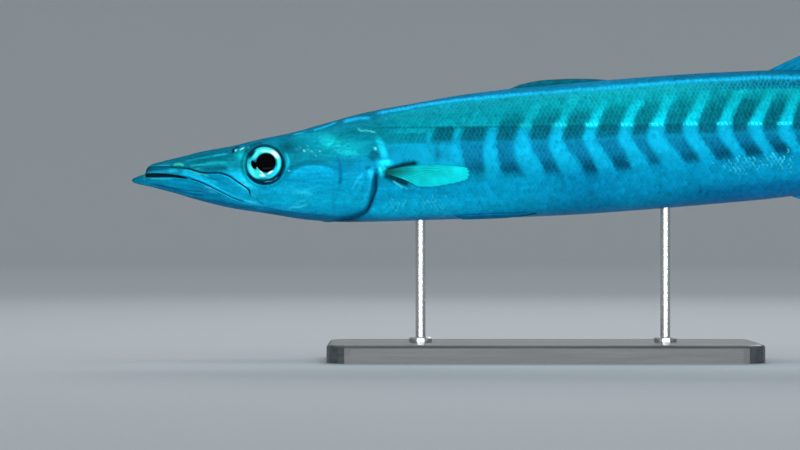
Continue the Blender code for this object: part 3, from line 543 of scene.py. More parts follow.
# Marks of the head and shoulder in millimetres: (colour, half width, strength, points of the line), soft at the edge.
MARK_LINES = (
    # Snout and jaws
    ("034a60", 1.1, 0.85, (15, 7.2), (16, 10), (20.4, 11.2), (31.1, 10.6), (38.8, 10.3), (45.4, 9)),
    ("25a9b0", 0.6, 0.55, (26, 12.8), (33, 12.7), (40.1, 11.9)),
    ("3cc8a4", 1.1, 0.8, (44, 12.4), (49, 12.8), (53, 11.3)),
    ("056478", 1.6, 0.6, (23, 14.6), (38, 15.8), (56, 17.8), (76, 21.2)),
    ("04697c", 0.8, 0.6, (58.2, 11.8), (69.3, 12.2), (82.6, 13), (96, 14.8)),
    ("1cb4b4", 0.8, 0.55, (60.2, 9.6), (64.6, 10), (71.2, 10.2)),
    ("14a8b0", 1.3, 0.6, (70, 10.2), (82.5, 11), (96, 10.3)),
    ("04697c", 0.7, 0.65, (60.1, 8), (71.2, 8.1), (82.2, 7.9), (94.4, 7.8)),
    ("18a4a8", 0.7, 0.5, (64.4, 6), (67, 6.1), (70, 6.1)),
    ("024a5c", 2, 0.85, (73, 5.6), (81.8, 5), (90, 4.8), (97, 4.4)),
    ("0f96b0", 1.1, 0.7, (56, 14.8), (60.2, 15.5), (75.4, 17.5), (90.4, 18.6), (98, 19.2)),
    ("14acc8", 0.9, 0.7, (83, 18.4), (89, 18.8), (96, 19.4)),
    ("3b9673", 0.9, 0.5, (13.5, -0.6), (12.8, 3.1), (14.8, 7)),
    ("3b9673", 0.5, 0.5, (18, 6.6), (30, 6), (45, 4.2)),
    ("045c78", 2, 0.75, (16.5, 9.6), (24, 9.8), (33, 9.2), (40, 8.8)),
    ("1090b0", 1.2, 0.7, (17, 6.4), (30, 6.2), (38, 6), (45, 6)),
    ("149cb6", 1.6, 0.7, (38, 7.2), (43, 6.6), (48, 5.8)),
    ("3fbfae", 0.6, 0.55, (19.1, 0), (30.1, -1.4), (40, -2)),
    ("35b09a", 0.7, 0.8, (57.5, 6.6), (64.2, 3.4), (70, 0.8), (77.5, -1.8)),
    ("10b8dc", 2.4, 0.75, (51.5, 4.5), (60.3, 2), (68.1, -1.6), (75.8, -5.2), (85.6, -9.6)),
    ("04789c", 0.8, 0.65, (68.6, 1.4), (75, -2.6), (83.6, -5.8), (91.1, -9.6), (97, -12)),
    # Painted shade along the lower jaw's fold, where its side turns under.
    ("0576a2", 1, 0.75, (9.2, 0.5), (14.4, -3.2), (23.1, -6.8), (32.9, -9.8), (42.6, -13.1)),
    ("02567c", 1, 0.8, (40.6, -12.8), (51.4, -16), (62.3, -19), (71.1, -20.7)),
    ("1f9ac4", 0.7, 0.6, (58.4, -13.9), (67.1, -15.6), (75.8, -17.7), (84.7, -18.6)),
    ("3fb4d4", 0.7, 0.85, (73, -12.3), (76, -13.1), (79, -14.5)),
    ("2fa8c4", 1.2, 0.65, (77.5, -16.4), (81, -17.3), (85, -18.1)),
    # Painted shade along the underside of the lower jaw.
    ("025f86", 2, 0.7, (57.9, -22.2), (73.1, -25.8), (89.5, -29.8), (105.8, -34), (125.4, -38.4)),
    ("046c96", 1.2, 0.5, (30, -12.8), (48, -18.2), (64, -23.6)),
    # Painted highlight on the cheek plate's edge above the mouth's corner.
    ("5fe0ee", 0.6, 0.8, (108.2, -10.4), (112, -12.4), (115.8, -15)),
    ("2fc9ea", 1.1, 0.85, (111.2, -29.2), (117.4, -30.6), (123.9, -32.7)),
    ("27bfe0", 0.6, 0.6, (119, -22.5), (122.2, -25), (124, -27.5)),
    ("02628a", 0.9, 0.5, (123.5, -26.8), (126, -30), (130, -34)),
    ("02394c", 0.9, 0.9, (15, 3.6), (14.6, 7.8), (16.3, 10.4), (19.9, 12.1)),
    ("023a4c", 0.9, 0.8, (40, 10.1), (43.8, 9.6), (50.1, 8.5), (56.8, 7.4), (64.3, 4.8)),
    # Painted shade in the mouth's slit.
    ("01070b", 1.2, 0.95, (15, 3.1), (23, 2.9), (38, 1.5), (48, -0.3), (56, -2.6)),
    # Round the nostril and the eye
    ("023040", 0.8, 0.9, (103.5, 19), (103.7, 22.5), (106.2, 24.8), (109.9, 25.7)),
    ("034a58", 2, 0.7, (116, 18), (119.5, 23.2), (126.2, 26.4), (134, 27)),
    # Painted glints beside the nostril.
    ("8df6f0", 0.8, 0.95, (106, 21.7), (107.2, 22.6)),
    ("8df6f0", 0.7, 0.85, (110.8, 22), (112, 23), (114.6, 24.2)),
    ("2cc4c8", 0.8, 0.6, (119, 23.2), (119.6, 25)),
    ("056e6c", 1.4, 0.6, (117.5, 19.5), (114, 14), (113, 7), (114.2, 0), (117, -6)),
    ("0fa4bd", 1.4, 0.7, (156.4, 15), (158.4, 7.4), (156.9, 0)),
    ("047486", 1.6, 0.55, (160, 15), (161.8, 7), (160, -1)),
    ("035a74", 2, 0.8, (155.4, -3.4), (160.6, 0.4), (166.7, 2.6), (174.7, 4.2), (184.6, 4.2), (196, 2.8)),
    ("4bd4e6", 0.6, 0.6, (157.5, -2), (159, -2.6)),
    ("17b7dd", 0.9, 0.45, (164, -26.2), (167.8, -25.1), (177.9, -21.9), (188, -19.6)),
    ("16b6de", 0.6, 0.55, (144.1, -37.4), (148, -37.2), (152.2, -35.9)),
    ("35d4f0", 0.8, 0.85, (154.6, -40.6), (159.4, -38.7), (165.6, -39.1), (173.8, -37)),
    ("24c6ec", 1.6, 0.65, (160, -23.6), (168, -24.4), (174, -26.2), (180, -27.1)),
    ("24c6ec", 1.1, 0.6, (162, -34.5), (167, -33.8), (173.4, -32)),
    ("026a90", 0.6, 0.6, (166.1, -47.3), (174.1, -46.6), (182.1, -45.7)),
    # Cheek bone and gill cover
    ("026088", 1.9, 0.8, (207, 10), (208.5, 2), (208.8, -6), (208.6, -13), (207.6, -19)),
    ("20b8e0", 1, 0.55, (231.4, -10.1), (223.8, -18.6), (219.7, -24.5)),
    ("0386ac", 1.2, 0.35, (202, -22.2), (200.3, -34.1), (200.3, -46.1)),
    ("0fb4dc", 0.8, 0.45, (204.5, -33), (204, -42)),
    ("13b9e0", 1, 0.6, (239, -13.7), (237.2, -22.7), (233, -32.4), (226.2, -40)),
    ("0caed6", 1.2, 0.5, (229, -18), (225, -26.2), (218.8, -33.7), (211.6, -38.1)),
    # Painted shade along the underside of the throat and gill cover.
    ("025f86", 2, 0.7, (125.4, -39.5), (145.4, -43.8), (175, -50), (209.7, -54.8), (230, -57.5)),
    ("18c2e6", 2.6, 0.7, (240, -8), (239.2, -11), (238.4, -15)),
    ("024c5e", 4.6, 0.88, (246.2, 10.5), (243, 6.2), (239.5, 2.5)),
    ("024c60", 1.4, 0.8, (234, -5.6), (239.3, -4.6)),
    # Painted shadow under the gill cover's edge, along the slit.
    ("014468", 2.7, 0.9, (244, -9), (243.6, -13.6), (242.4, -18.5), (240.6, -27.3), (237.6, -37), (234.8, -43.4),
      (230, -48.4), (222.5, -51.8), (211, -54.4), (198, -56)),
    ("0fbcd8", 3, 0.7, (248, 23.5), (250.5, 18), (252.4, 11), (254.6, 3)),
    ("14d2e8", 3, 0.75, (249, -2.5), (253.5, -1.2), (258.5, -2)),
    ("14d2e8", 1.7, 0.8, (248.4, -6), (249, -10), (249.8, -14.2)),
    ("22e6f2", 0.8, 0.75, (247.4, -8.4), (251, -8), (254, -7)),
    ("5cf0ec", 1.1, 0.9, (244.3, 14.1), (245.7, 13)),
    # Nape
    ("4ce4e4", 0.7, 0.65, (229.2, 35.6), (231.2, 33), (234.5, 32.2), (239.3, 32), (247, 29.4)),
    # Painted highlight in dashes along the top of the nape, in line with the one along the back.
    ("1fb4d4", 0.6, 0.8, (165, 33.8), (170, 34.6), (175.5, 35)),
    ("12b6ea", 0.9, 0.95, (185, 36.7), (196.2, 39.4), (207.5, 42.9)),
    ("14b8ee", 1.4, 0.95, (215.5, 43.2), (227.7, 44.7), (241.7, 44.6)),
    ("036f88", 1.4, 0.5, (243.7, 45.1), (247.5, 40.8), (251.1, 35.6)),
    # Hollow behind the breast fin's root, with painted shadow above and below the root
    ("011f2a", 2.6, 1, (254.5, -8.8), (263.3, -6.6), (273.3, -4.6), (286, -3.8)),
    ("012c38", 4, 0.95, (252, -12.8), (259.7, -16.5), (267.4, -20.2), (276, -23.2)),
    ("3ad6ea", 0.8, 0.8, (261, -20.5), (264.2, -23), (268.8, -26.2), (273.6, -28.2)),
    ("036a8c", 1.4, 0.5, (269.5, -30.4), (278.3, -31.5), (288.1, -33.1)),
)
# Patches in millimetres: (colour, strength, middle, half length, half height, turn in degrees).
MARK_PATCHES = (
    ("036c8a", 0.75, (45, 16), 30, 4.5, 10),
    ("035c78", 0.8, (6, -0.5), 10, 6, 0),
    ("023f52", 0.92, (16.8, 9.4), 3.6, 4.6, 0),
    ("05a4c4", 0.45, (180, 27.5), 14, 7, -25),
    ("035a6e", 0.8, (82, 17.5), 32, 7.5, 10),
    ("057082", 0.75, (90, 7.5), 20, 6, 0),
    ("04a0ca", 0.4, (102, 1), 12, 5, 0),
    ("08a0c8", 0.45, (98, -15), 18, 8, -38),
    ("0399c0", 0.6, (58.4, -9.3), 7, 3, -15),
    ("16d2f6", 0.9, (113, -11), 14, 6, -38),
    ("0a96bd", 0.6, (125, -24), 10, 6, -20),
    ("026490", 0.75, (75, -19), 30, 5.5, -20),
    ("03668c", 0.75, (28, -8.5), 22, 5.5, -16),
    ("0ab9c2", 0.85, (111.3, 16.8), 5, 4.6, 0),
    ("056f80", 0.85, (107.5, 6.5), 8, 4.5, 0),
    ("069a9c", 0.6, (113.5, 4), 2.2, 8.5, 0),
    ("0aabce", 0.6, (112, -2), 5, 3.5, -30),
    ("034e64", 0.9, (158.5, 21), 9, 7, -35),
    ("046478", 0.65, (164, 9), 7, 9, 0),
    ("046e82", 0.5, (185, 8), 18, 4, -4),
    ("0ac4d4", 0.7, (198.5, 25.5), 12, 6, -30),
    ("05a4b0", 0.45, (217, 15), 9, 8, -20),
    ("047c90", 0.65, (223, 29), 12, 10, 20),
    ("0492a6", 0.7, (230, 19), 9, 7, 0),
    ("03788a", 0.6, (244, 31), 10, 6, -10),
    ("02607c", 0.8, (220, -0.5), 15, 8.5, 0),
    ("0494bf", 0.4, (183, -10), 22, 10, -3),
    ("10c0e8", 0.5, (160, -22.5), 22, 6, -10),
    ("0392bc", 0.4, (227, -20), 10, 20, 5),
    ("02547a", 0.45, (233, -53), 10, 5, -30),
    # Painted sheen where the scales glitter low on the shoulder.
    ("04b9dc", 0.35, (276, -45), 22, 6, -8),
    # Painted shadow on the flank above the breast fin's root.
    ("0480a4", 0.85, (264, 5), 10, 7.5, 0),
    ("0485aa", 0.55, (272, 4), 14, 8, 0),
)
# Upper edge of the cheek's muscle, in millimetres.
CHEEK_OUTLINE = (
    (156, -8.4), (160.3, -4.8), (166.5, -1.2), (173.5, 1), (181.5, 1.4), (191.3, 0), (199.1, -2.5), (205, -6),
)
# Painted glints, each a single bright speck, in millimetres: (middle, size, strength).
GLINT_SPECKS = (
    ((174.9, 16.5), 1.3, 1), ((181.7, 15.3), 1, 0.9), ((178.3, 21.2), 0.9, 0.6), ((186, 10.4), 0.9, 0.6),
    ((167.3, 19.1), 0.9, 0.5), ((179, 17.6), 0.8, 0.6), ((183.8, 13.8), 0.8, 0.5), ((170.8, 20.5), 0.8, 0.4),
    ((190, 15), 0.9, 0.5), ((163.2, 12.8), 0.8, 0.4),
)
# Where scales catch the light in short curls: (middle, half length, half height, share of the scales).
SPARKLES = (
    ((0.2930, -0.0440), 0.012, 0.0055, 0.90), ((0.2640, -0.0425), 0.009, 0.0050, 0.60),
    ((0.5980, -0.0310), 0.014, 0.0060, 0.90), ((0.6300, -0.0265), 0.028, 0.0062, 0.98),
    ((0.4876, -0.0151), 0.0025, 0.0025, 1.0),
)


def base_paint(s, h, pigment=1.0):
    """Colour of the flank, and of the head in front of the gill cover's edge."""
    head = ramp(HEAD_COLOURS, height_share(s, h)) * (1 + 0.04 * waver(s, h * 1.5, 0.010, 11))[..., None]
    edge = np.interp(-h, *np.array(HEAD_PAINT_EDGE).T)
    soft = np.where(h > 0.0, 0.022, 0.0006)
    return mix(flank_paint(s, h, pigment), head, ease(edge + soft, edge - soft, s))


def dullness(s, h):
    """1 on the dark back, where no silver lies under the skin, and 0 on the sides."""
    return ease(0.900, 0.960, height_share(s, h))


def crown_silver_glints(s, h):
    """How much wrinkled silver, with its painted glints, there is on the crown and above the cheek."""
    return np.max([
        strength * blob(s, h + slope * (s - centre[0]), centre, long, high)
        for strength, centre, long, high, slope in SILVER_GLINTS
    ], axis=0)


def marks(colour, s, h):
    """The marks of head and shoulder over the base colour."""
    colour = lateral_line_and_highlight(colour, s, h)
    near = s < 0.32
    marked, silver = colour[near], crown_silver_glints(s[near], h[near])
    ps, ph = s[near] * 1000, h[near] * 1000
    for tint, strength, centre, long, high, turn in MARK_PATCHES:
        marked = paint_over(marked, (tint, strength * blob(ps, ph, centre, long, high, turn)))
    # The cheek's muscle is brighter under its curved upper edge.
    distance, side, along = to_line(ps, ph, curve(CHEEK_OUTLINE))
    band = ease(0.0, 0.1, along) * ease(1.0, 0.85, along)
    off = distance * side
    marked = paint_over(
        marked,
        ("04aad6", 0.45 * band * ease(12, 0, distance) * ease(1.4, -1.4, off)),
        ("036478", 0.60 * band * ease(7, 0, distance) * ease(-1.4, 1.4, off)),
    )
    for tint, half, strength, *points in MARK_LINES:
        distance, _, along = to_line(ps, ph, curve(points))
        fade = 0.35 + 0.65 * ease(0.0, 0.10, along) * ease(1.0, 0.90, along)
        marked = paint_over(marked, (tint, strength * ease(half * 1.7, half * 0.3, distance) * fade))
    # Silver on the crown, and painted glints as single bright specks behind the eye.
    marked = paint_over(marked, ("0aa6b4", 0.45 * silver))
    for (cs, ch), size, strength in GLINT_SPECKS:
        marked = paint_over(marked, (GLINT_COLOUR, 0.75 * strength * ease(size, size * 0.2, np.hypot(ps - cs, ph - ch))))
    colour[near] = marked
    return colour


# ---- Making objects ----


def connect(tree, node, inputs):
    """Sets inputs of a node to values, or links them to the outputs that are given."""
    for key, value in inputs.items():
        if isinstance(value, bpy.types.NodeSocket):
            tree.links.new(value, node.inputs[key])
        else:
            node.inputs[key].default_value = value


def add_node(tree, kind, inputs=None, **settings):
    """A node with its settings, and its inputs as values or as the outputs they are linked to."""
    made = tree.nodes.new(kind)
    for name, value in settings.items():
        setattr(made, name, value)
    connect(tree, made, inputs or {})
    return made


def new_material(name):
    """A material with its node tree and its surface shader."""
    material = bpy.data.materials.new(name)
    material.use_nodes = True
    return material, material.node_tree, material.node_tree.nodes["Principled BSDF"]


def add_object(name, mesh, material, replaced=()):
    """A piece of the fish's root body, in place of the solids named."""
    obj = bpy.data.objects.new(name, mesh)
    bpy.context.scene.collection.objects.link(obj)
    mesh.materials.clear()
    mesh.materials.append(material)
    mesh.shade_smooth()
    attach(obj, "root")
    if replaced:
        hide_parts(*replaced)
    return obj


def to_mesh(bm, mesh, outward=True):
    """Writes a bmesh to a mesh, which may be given by the name of a new one."""
    bm.normal_update()
    if outward:
        bmesh.ops.recalc_face_normals(bm, faces=bm.faces)
    if isinstance(mesh, str):
        mesh = bpy.data.meshes.new(mesh)
    bm.to_mesh(mesh)
    bm.free()
    return mesh


def turn_outward(mesh, merge=0.0):
    """Turns a placed mesh's faces outwards, with points closer than merge joined first."""
    bm = bmesh.new()
    bm.from_mesh(mesh)
    if merge:
        bmesh.ops.remove_doubles(bm, verts=bm.verts, dist=merge)
    return to_mesh(bm, mesh)


def get_points(mesh):
    """The mesh's points, one a row."""
    points = np.empty(len(mesh.vertices) * 3, np.float32)
    mesh.vertices.foreach_get("co", points)
    return points.reshape(-1, 3).astype(float)


def set_points(mesh, points):
    """Moves the mesh's points to new places."""
    mesh.vertices.foreach_set("co", np.asarray(points, np.float32).ravel())
    mesh.update()


def set_colour(mesh, name, colour):
    """A colour for each point, with full alpha."""
    layer = mesh.color_attributes.new(name, "FLOAT_COLOR", "POINT")
    opaque = np.ones((len(mesh.vertices), 4), np.float32)
    opaque[:, :3] = np.clip(colour, 0.0, 1.0)
    layer.data.foreach_set("color", opaque.ravel())


def set_number(mesh, name, values):
    """A number for each point."""
    layer = mesh.attributes.new(name, "FLOAT", "POINT")
    layer.data.foreach_set("value", np.asarray(values, np.float32))


def set_uv(mesh, name, uv):
    """A UV map from one pair of numbers for each point."""
    layer = mesh.uv_layers.new(name=name)
    corner = np.empty(len(mesh.loops), np.int32)
    mesh.loops.foreach_get("vertex_index", corner)
    layer.data.foreach_set("uv", np.asarray(uv, np.float32)[corner].ravel())


# ---- Materials ----


def skin_material():
    """Wet fish skin over bone: smooth and tight, with a silvery layer that shines through pigment."""
    material, tree, shader = new_material("silvery fish skin")
    paint, crease, silver, dull = (
        add_node(tree, "ShaderNodeAttribute", attribute_name=name).outputs[channel]
        for name, channel in (("paint", "Color"), ("crease", "Fac"), ("silver", "Fac"), ("dull", "Fac"))
    )
    where = add_node(tree, "ShaderNodeTexCoord").outputs["Object"]
    # Pores and fine freckles, about 1.2 mm apart.
    freckle = add_node(tree, "ShaderNodeTexNoise", {"Vector": where, "Scale": 830.0, "Detail": 3.0, "Roughness": 0.6})
    # Faint streaks along the head, about 3 mm apart.
    level = add_node(tree, "ShaderNodeMapping", {"Vector": where, "Rotation": (0, PITCH, 0), "Scale": (60, 160, 320)})
    streak = add_node(tree, "ShaderNodeTexNoise", {"Vector": level.outputs[0], "Scale": 1.0, "Detail": 2.0})
    # Tiny scales sunk in the skin of cheek and gill cover, about 1.5 mm apart.
    tiny = add_node(tree, "ShaderNodeTexVoronoi", {"Vector": where, "Scale": 660.0, "Randomness": 0.7},
                    distance="EUCLIDEAN")
    # Mottling about 3 mm across.
    mottle = add_node(tree, "ShaderNodeTexNoise", {"Vector": where, "Scale": 330.0, "Detail": 3.0, "Roughness": 0.65})
    light = 1.0
    for height, low, high, dark, bright in (
        (freckle.outputs["Fac"], 0.30, 0.70, 0.91, 1.10), (tiny.outputs["Distance"], 0.15, 0.75, 1.04, 0.91),
        (streak.outputs["Fac"], 0.30, 0.70, 0.86, 1.16), (mottle.outputs["Fac"], 0.34, 0.66, 0.89, 1.12),
    ):
        level = add_node(tree, "ShaderNodeMapRange", {"Value": height, 1: low, 2: high, 3: dark, 4: bright})
        light = add_node(tree, "ShaderNodeMath", {0: light, 1: level.outputs[0]}, operation="MULTIPLY").outputs[0]
    # Painted glints on the crown's silver, in fine slanting wrinkles about 1.5 mm apart.
    slant = add_node(tree, "ShaderNodeMapping", {"Vector": where, "Rotation": (0, 0.7, 0), "Scale": (260, 500, 900)})
    wrinkle = add_node(tree, "ShaderNodeTexNoise",
                       {"Vector": slant.outputs[0], "Scale": 1.0, "Detail": 3.0, "Roughness": 0.7})
    glint = add_node(tree, "ShaderNodeMapRange", {"Value": wrinkle.outputs["Fac"], 1: 0.44, 2: 0.72, 4: 0.9})
    glint = add_node(tree, "ShaderNodeMath", {0: glint.outputs[0], 1: silver}, operation="MULTIPLY")
    # Painted shade: creases darken, and the deepest are painted black.
    shaded = add_node(tree, "ShaderNodeMapRange", {"Value": crease, 1: 0.0, 2: 0.55})
    deep = add_node(tree, "ShaderNodeMapRange", {"Value": crease, 1: 0.70, 2: 1.0})
    colour = add_node(tree, "ShaderNodeVectorMath", {0: paint, "Scale": light}, operation="SCALE").outputs[0]
    for share, tint in ((glint, "1fe0e2"), (shaded, CREASE_SHADE), (deep, MOUTH_SHADE)):
        blend = add_node(tree, "ShaderNodeMix", {0: share.outputs[0], 6: colour, 7: rgba(tint)}, data_type="RGBA")
        colour = blend.outputs[2]
    rough = add_node(tree, "ShaderNodeMapRange", {"Value": freckle.outputs["Fac"], 1: 0.3, 2: 0.7, 3: 0.40, 4: 0.52})
    rough = add_node(tree, "ShaderNodeMath", {0: rough.outputs[0], 1: dull}, operation="ADD", use_clamp=True)
    shine = add_node(tree, "ShaderNodeMapRange", {"Value": crease, 1: 0.0, 2: 0.6, 3: 0.35, 4: 0.0})
    shine = add_node(tree, "ShaderNodeMath", {0: shine.outputs[0], 1: dull}, operation="SUBTRACT", use_clamp=True)
    relief = add_node(tree, "ShaderNodeBump", {"Strength": 0.25, "Distance": 0.00025, "Height": freckle.outputs["Fac"]})
    relief = add_node(tree, "ShaderNodeBump", {"Strength": 0.3, "Distance": 0.0005, "Height": streak.outputs["Fac"],
                                               "Normal": relief.outputs[0]})
    connect(tree, shader, {"Base Color": colour, "Roughness": rough.outputs[0], "Metallic": shine.outputs[0],
                           "Normal": relief.outputs[0], **WET_GLOSS})
    return material


def scale_material():
    """Thin horny scales with a mirror-like layer under them: glossy, with fine growth rings."""
    material, tree, shader = new_material("silvery fish scales")
    paint, dull = (
        add_node(tree, "ShaderNodeAttribute", attribute_name=name).outputs[channel]
        for name, channel in (("paint", "Color"), ("dull", "Fac"))
    )
    where = add_node(tree, "ShaderNodeTexCoord").outputs["Object"]
    local = add_node(tree, "ShaderNodeUVMap", uv_map="scale").outputs[0]
    # Uneven pigment in patches of about 4 mm.
    grain = add_node(tree, "ShaderNodeTexNoise", {"Vector": where, "Scale": 260.0, "Detail": 3.0, "Roughness": 0.6})
    light = add_node(tree, "ShaderNodeMapRange", {"Value": grain.outputs["Fac"], 1: 0.32, 2: 0.68, 3: 0.91, 4: 1.10})
    tint = add_node(tree, "ShaderNodeVectorMath", {0: paint, "Scale": light.outputs[0]}, operation="SCALE")
    # Growth rings, drawn about 0.4 mm apart so that they show.
    rings = add_node(tree, "ShaderNodeTexWave", {"Vector": local, "Scale": 2.2, "Distortion": 0.6, "Detail": 1.0},
                     wave_type="RINGS", rings_direction="Z")
    relief = add_node(tree, "ShaderNodeBump", {"Strength": 0.2, "Distance": 0.0001, "Height": rings.outputs["Fac"]})
    rough = add_node(tree, "ShaderNodeMapRange", {"Value": grain.outputs["Fac"], 1: 0.3, 2: 0.7, 3: 0.38, 4: 0.50})
    rough = add_node(tree, "ShaderNodeMath", {0: rough.outputs[0], 1: dull}, operation="ADD", use_clamp=True)
    shine = add_node(tree, "ShaderNodeMapRange", {"Value": dull, 1: 0.0, 2: 1.0, 3: 0.35, 4: 0.0})
    connect(tree, shader, {"Base Color": tint.outputs[0], "Roughness": rough.outputs[0], "Metallic": shine.outputs[0],
                           "Normal": relief.outputs[0], **WET_GLOSS})
    return material


def fin_material(name, membrane, ray, margin, margin_start, root=None):
    """Thin fin skin stretched on bony rays: half matt, with other colours towards the edge and the root.

    The UV map called fin counts rays across and runs from 0 at the root to 1 at the edge.
    """
    material, tree, shader = new_material(name)
    local = add_node(tree, "ShaderNodeUVMap", uv_map="fin").outputs[0]
    along = add_node(tree, "ShaderNodeSeparateXYZ", {0: local}).outputs[1]
    ridge = add_node(tree, "ShaderNodeAttribute", attribute_name="ridge").outputs["Fac"]
    where = add_node(tree, "ShaderNodeTexCoord").outputs["Object"]
    blotch = add_node(tree, "ShaderNodeTexNoise", {"Vector": where, "Scale": 90.0, "Detail": 3.0})
    rim, past_root = (
        add_node(tree, "ShaderNodeMapRange", {"Value": along, 1: start, 2: end},
                 interpolation_type="SMOOTHSTEP").outputs[0]
        for start, end in ((margin_start, 0.97), (0.05, 0.48))
    )
    body = add_node(tree, "ShaderNodeMix", {0: ridge, 6: rgba(membrane), 7: rgba(ray)}, data_type="RGBA")
    edged = add_node(tree, "ShaderNodeMix", {0: rim, 6: body.outputs[2], 7: rgba(margin)}, data_type="RGBA")
    rooted = add_node(tree, "ShaderNodeMix", {0: past_root, 6: rgba(root or membrane), 7: edged.outputs[2]},
                      data_type="RGBA")
    light = add_node(tree, "ShaderNodeMapRange", {"Value": blotch.outputs["Fac"], 1: 0.3, 2: 0.7, 3: 0.82, 4: 1.2})
    tint = add_node(tree, "ShaderNodeVectorMath", {0: rooted.outputs[2], "Scale": light.outputs[0]}, operation="SCALE")
    # Joints across each ray, about 1.5 mm apart.
    joints = add_node(tree, "ShaderNodeTexWave", {"Vector": local, "Scale": 18.0, "Distortion": 0.5},
                      wave_type="BANDS", bands_direction="Y")
    height = add_node(tree, "ShaderNodeMath", {0: joints.outputs["Fac"], 1: ridge}, operation="MULTIPLY")
    relief = add_node(tree, "ShaderNodeBump", {"Strength": 0.3, "Distance": 0.0002, "Height": height.outputs[0]})
    connect(tree, shader, {"Base Color": tint.outputs[0], "Normal": relief.outputs[0], "Roughness": 0.48,
                           "Metallic": 0.15, **WET_GLOSS})
    return material


# ---- Skin ----

RING_SIDES = 256
# Spacing of the skin's rings: (end of the stretch, step).
RING_STEPS = (
    (0.0120, 0.00075), (0.0165, 0.0003), (0.0600, 0.00095), (0.1100, 0.00085), (0.1570, 0.0008), (0.2300, 0.0013),
    (0.2520, 0.0007), (0.2920, 0.0012), (STALK_END, 0.0100),
)


def ring_stations():
    """Distances back of the skin's rings, close together where the head has detail."""
    stations = [0.0]
    for end, step in RING_STEPS:
        start = stations[-1]
        count = max(1, round((end - start) / step))
        stations += [start + (end - start) * k / count for k in range(1, count + 1)]
    return np.array(stations)


def mouth(s, h):
    """Half of the mouth's opening at each point, and how far the point lies outside it."""
    line = curve(MOUTH_LINE)
    opening = smooth(MOUTH_HALF_OPENING, s)
    return opening, np.abs(h - np.interp(s, line[:, 0], line[:, 1])) - opening


def lip_relief(s, h):
    """Lift and crease of the lips and of the closed part of the mouth."""
    opening, away = mouth(s, h)
    on_lips = ease(UPPER_JAW_START - 0.0003, UPPER_JAW_START + 0.0003, s) * ease(0.1140, 0.1080, s)
    lip = np.sqrt(np.maximum(0.0, LIP_RADIUS**2 - (away - 0.6 * LIP_RADIUS) ** 2)) / LIP_RADIUS
    closed = ease(0.0004, 0.0, away) * on_lips * ease(0.0006, 0.0003, opening)
    return 0.0006 * lip * on_lips * ease(0.0, 0.0003, away) - 0.0011 * closed, 0.9 * closed


def plate_relief(s, h):
    """Lift and crease of the cheek plate over the mouth, which stands proud of the cheek behind its edge."""
    distance, side, along = to_line(s, h, curve(CHEEK_PLATE_EDGE))
    ends = ease(0.0, 0.12, along) * ease(1.0, 0.93, along)
    lift = 0.0009 * ends * (ease(0.009, 0.0, distance) * (side < 0) - ease(0.0011, 0.0002, distance))
    return lift, ease(0.0009, 0.0003, distance) * (0.25 + 0.65 * ends)


def fold_relief(s, h, points, deep, wide, dark):
    """Lift and crease of one fold or bony edge."""
    distance, side, along = to_line(s, h, curve(points))
    ends = ease(0.0, 0.15, along) * ease(1.0, 0.70, along)
    lift = deep * ends * (0.6 * ease(wide * 4, wide, distance) * (side < 0) - ease(wide, 0.0002, distance))
    return lift, dark * ends * ease(wide * 0.9, 0.0002, distance)


def gill_relief(ring, angle):
    """Lift and crease of the gill cover's flared free edge, and of the shoulder tucked in behind it."""
    back = ring - GILL_STATION
    flare = GILL_FLARE * gill_free(angle) * np.maximum(0.0, 1 + back / GILL_REACH) ** 2 * (back <= 0.0003)
    tuck = gill_tuck(angle) * np.maximum(0.0, 1 - back / GILL_REACH) * (back > 0.0003)
    # The slit under the free edge of the gill cover is darkened as painted shade.
    slit = ease(95.0, 103.0, np.degrees(np.abs(angle)))
    return flare - tuck, 0.58 * slit * ease(-0.0004, 0.0004, back) * ease(0.0040, 0.0010, back)


def socket_relief(s, h):
    """Lift and crease of the eye's socket: a moat round the ball inside a soft rim, open at the front and rear."""
    r = np.hypot(s - EYE[0], h - EYE[1])
    lift = 0.0005 * peak(r, RIM_RADIUS + 0.0004, 0.0013) - 0.0002 * peak(r, RIM_RADIUS + 0.0032, 0.0016)
    lift -= 0.0052 * ease(RIM_RADIUS - 0.0008, EYE_RADIUS - 0.0022, r)
    front = np.abs(np.arctan2(h - EYE[1], EYE[0] - s) - 0.02)
    rear = ease(1.5, 0.6, np.abs(np.arctan2(h - EYE[1], s - EYE[0]) - 0.25))
    moat = 0.64 - 0.60 * ease(0.62, 0.24, front) - 0.36 * rear
    # The moat round the ball is darkened as painted shade.
    return lift, moat * ease(RIM_RADIUS, RIM_RADIUS - 0.0013, r)


def nostril_relief(s, h, place_s, place_h, radius):
    """Lift and crease of one nostril, a small upright oval pit with a rim."""
    r = np.hypot((s - place_s) * 1.6, (h - place_h) * 0.8)
    lift = 0.0004 * peak(r, radius * 1.35, 0.0005) - 0.0013 * ease(radius, radius * 0.3, r)
    return lift, min(1.0, radius / 0.0014) * ease(radius * 1.05, radius * 0.6, r)


def head_relief(s, ring, angle, h):
    """How far the head's surface stands off the plain form, and how deep in a crease it lies (0 to 1)."""
    reliefs = [lip_relief(s, h), plate_relief(s, h), gill_relief(ring, angle), socket_relief(s, h)]
    reliefs += [fold_relief(s, h, *fold) for fold in FOLDS]
    reliefs += [nostril_relief(s, h, *nostril) for nostril in NOSTRILS]
    lift = sum(relief[0] for relief in reliefs)
    # Each crease sets how much shade is painted into it.
    crease = np.max([np.zeros_like(s), *(relief[1] for relief in reliefs)], axis=0)
    # The tip of the snout is rounded.
    lift -= 0.0007 * peak(s, 0.0187, 0.0018) * ease(0.005, 0.010, h)
    # Fine wrinkled bone on the crown and snout.
    lift += 0.00035 * blob(s, h, (0.203, 0.024), 0.020, 0.014) * waver(s * 1.2, h * 2.2, 0.0034, 21)
    snout = ease(0.02, 0.05, s) * ease(0.12, 0.09, s) * ease(0.004, 0.012, h)
    lift += 0.00022 * snout * waver(s * 0.25, h * 2.0, 0.0022, 22)
    on_head = ease(0.26, 0.25, ring)
    return lift * on_head, crease * on_head


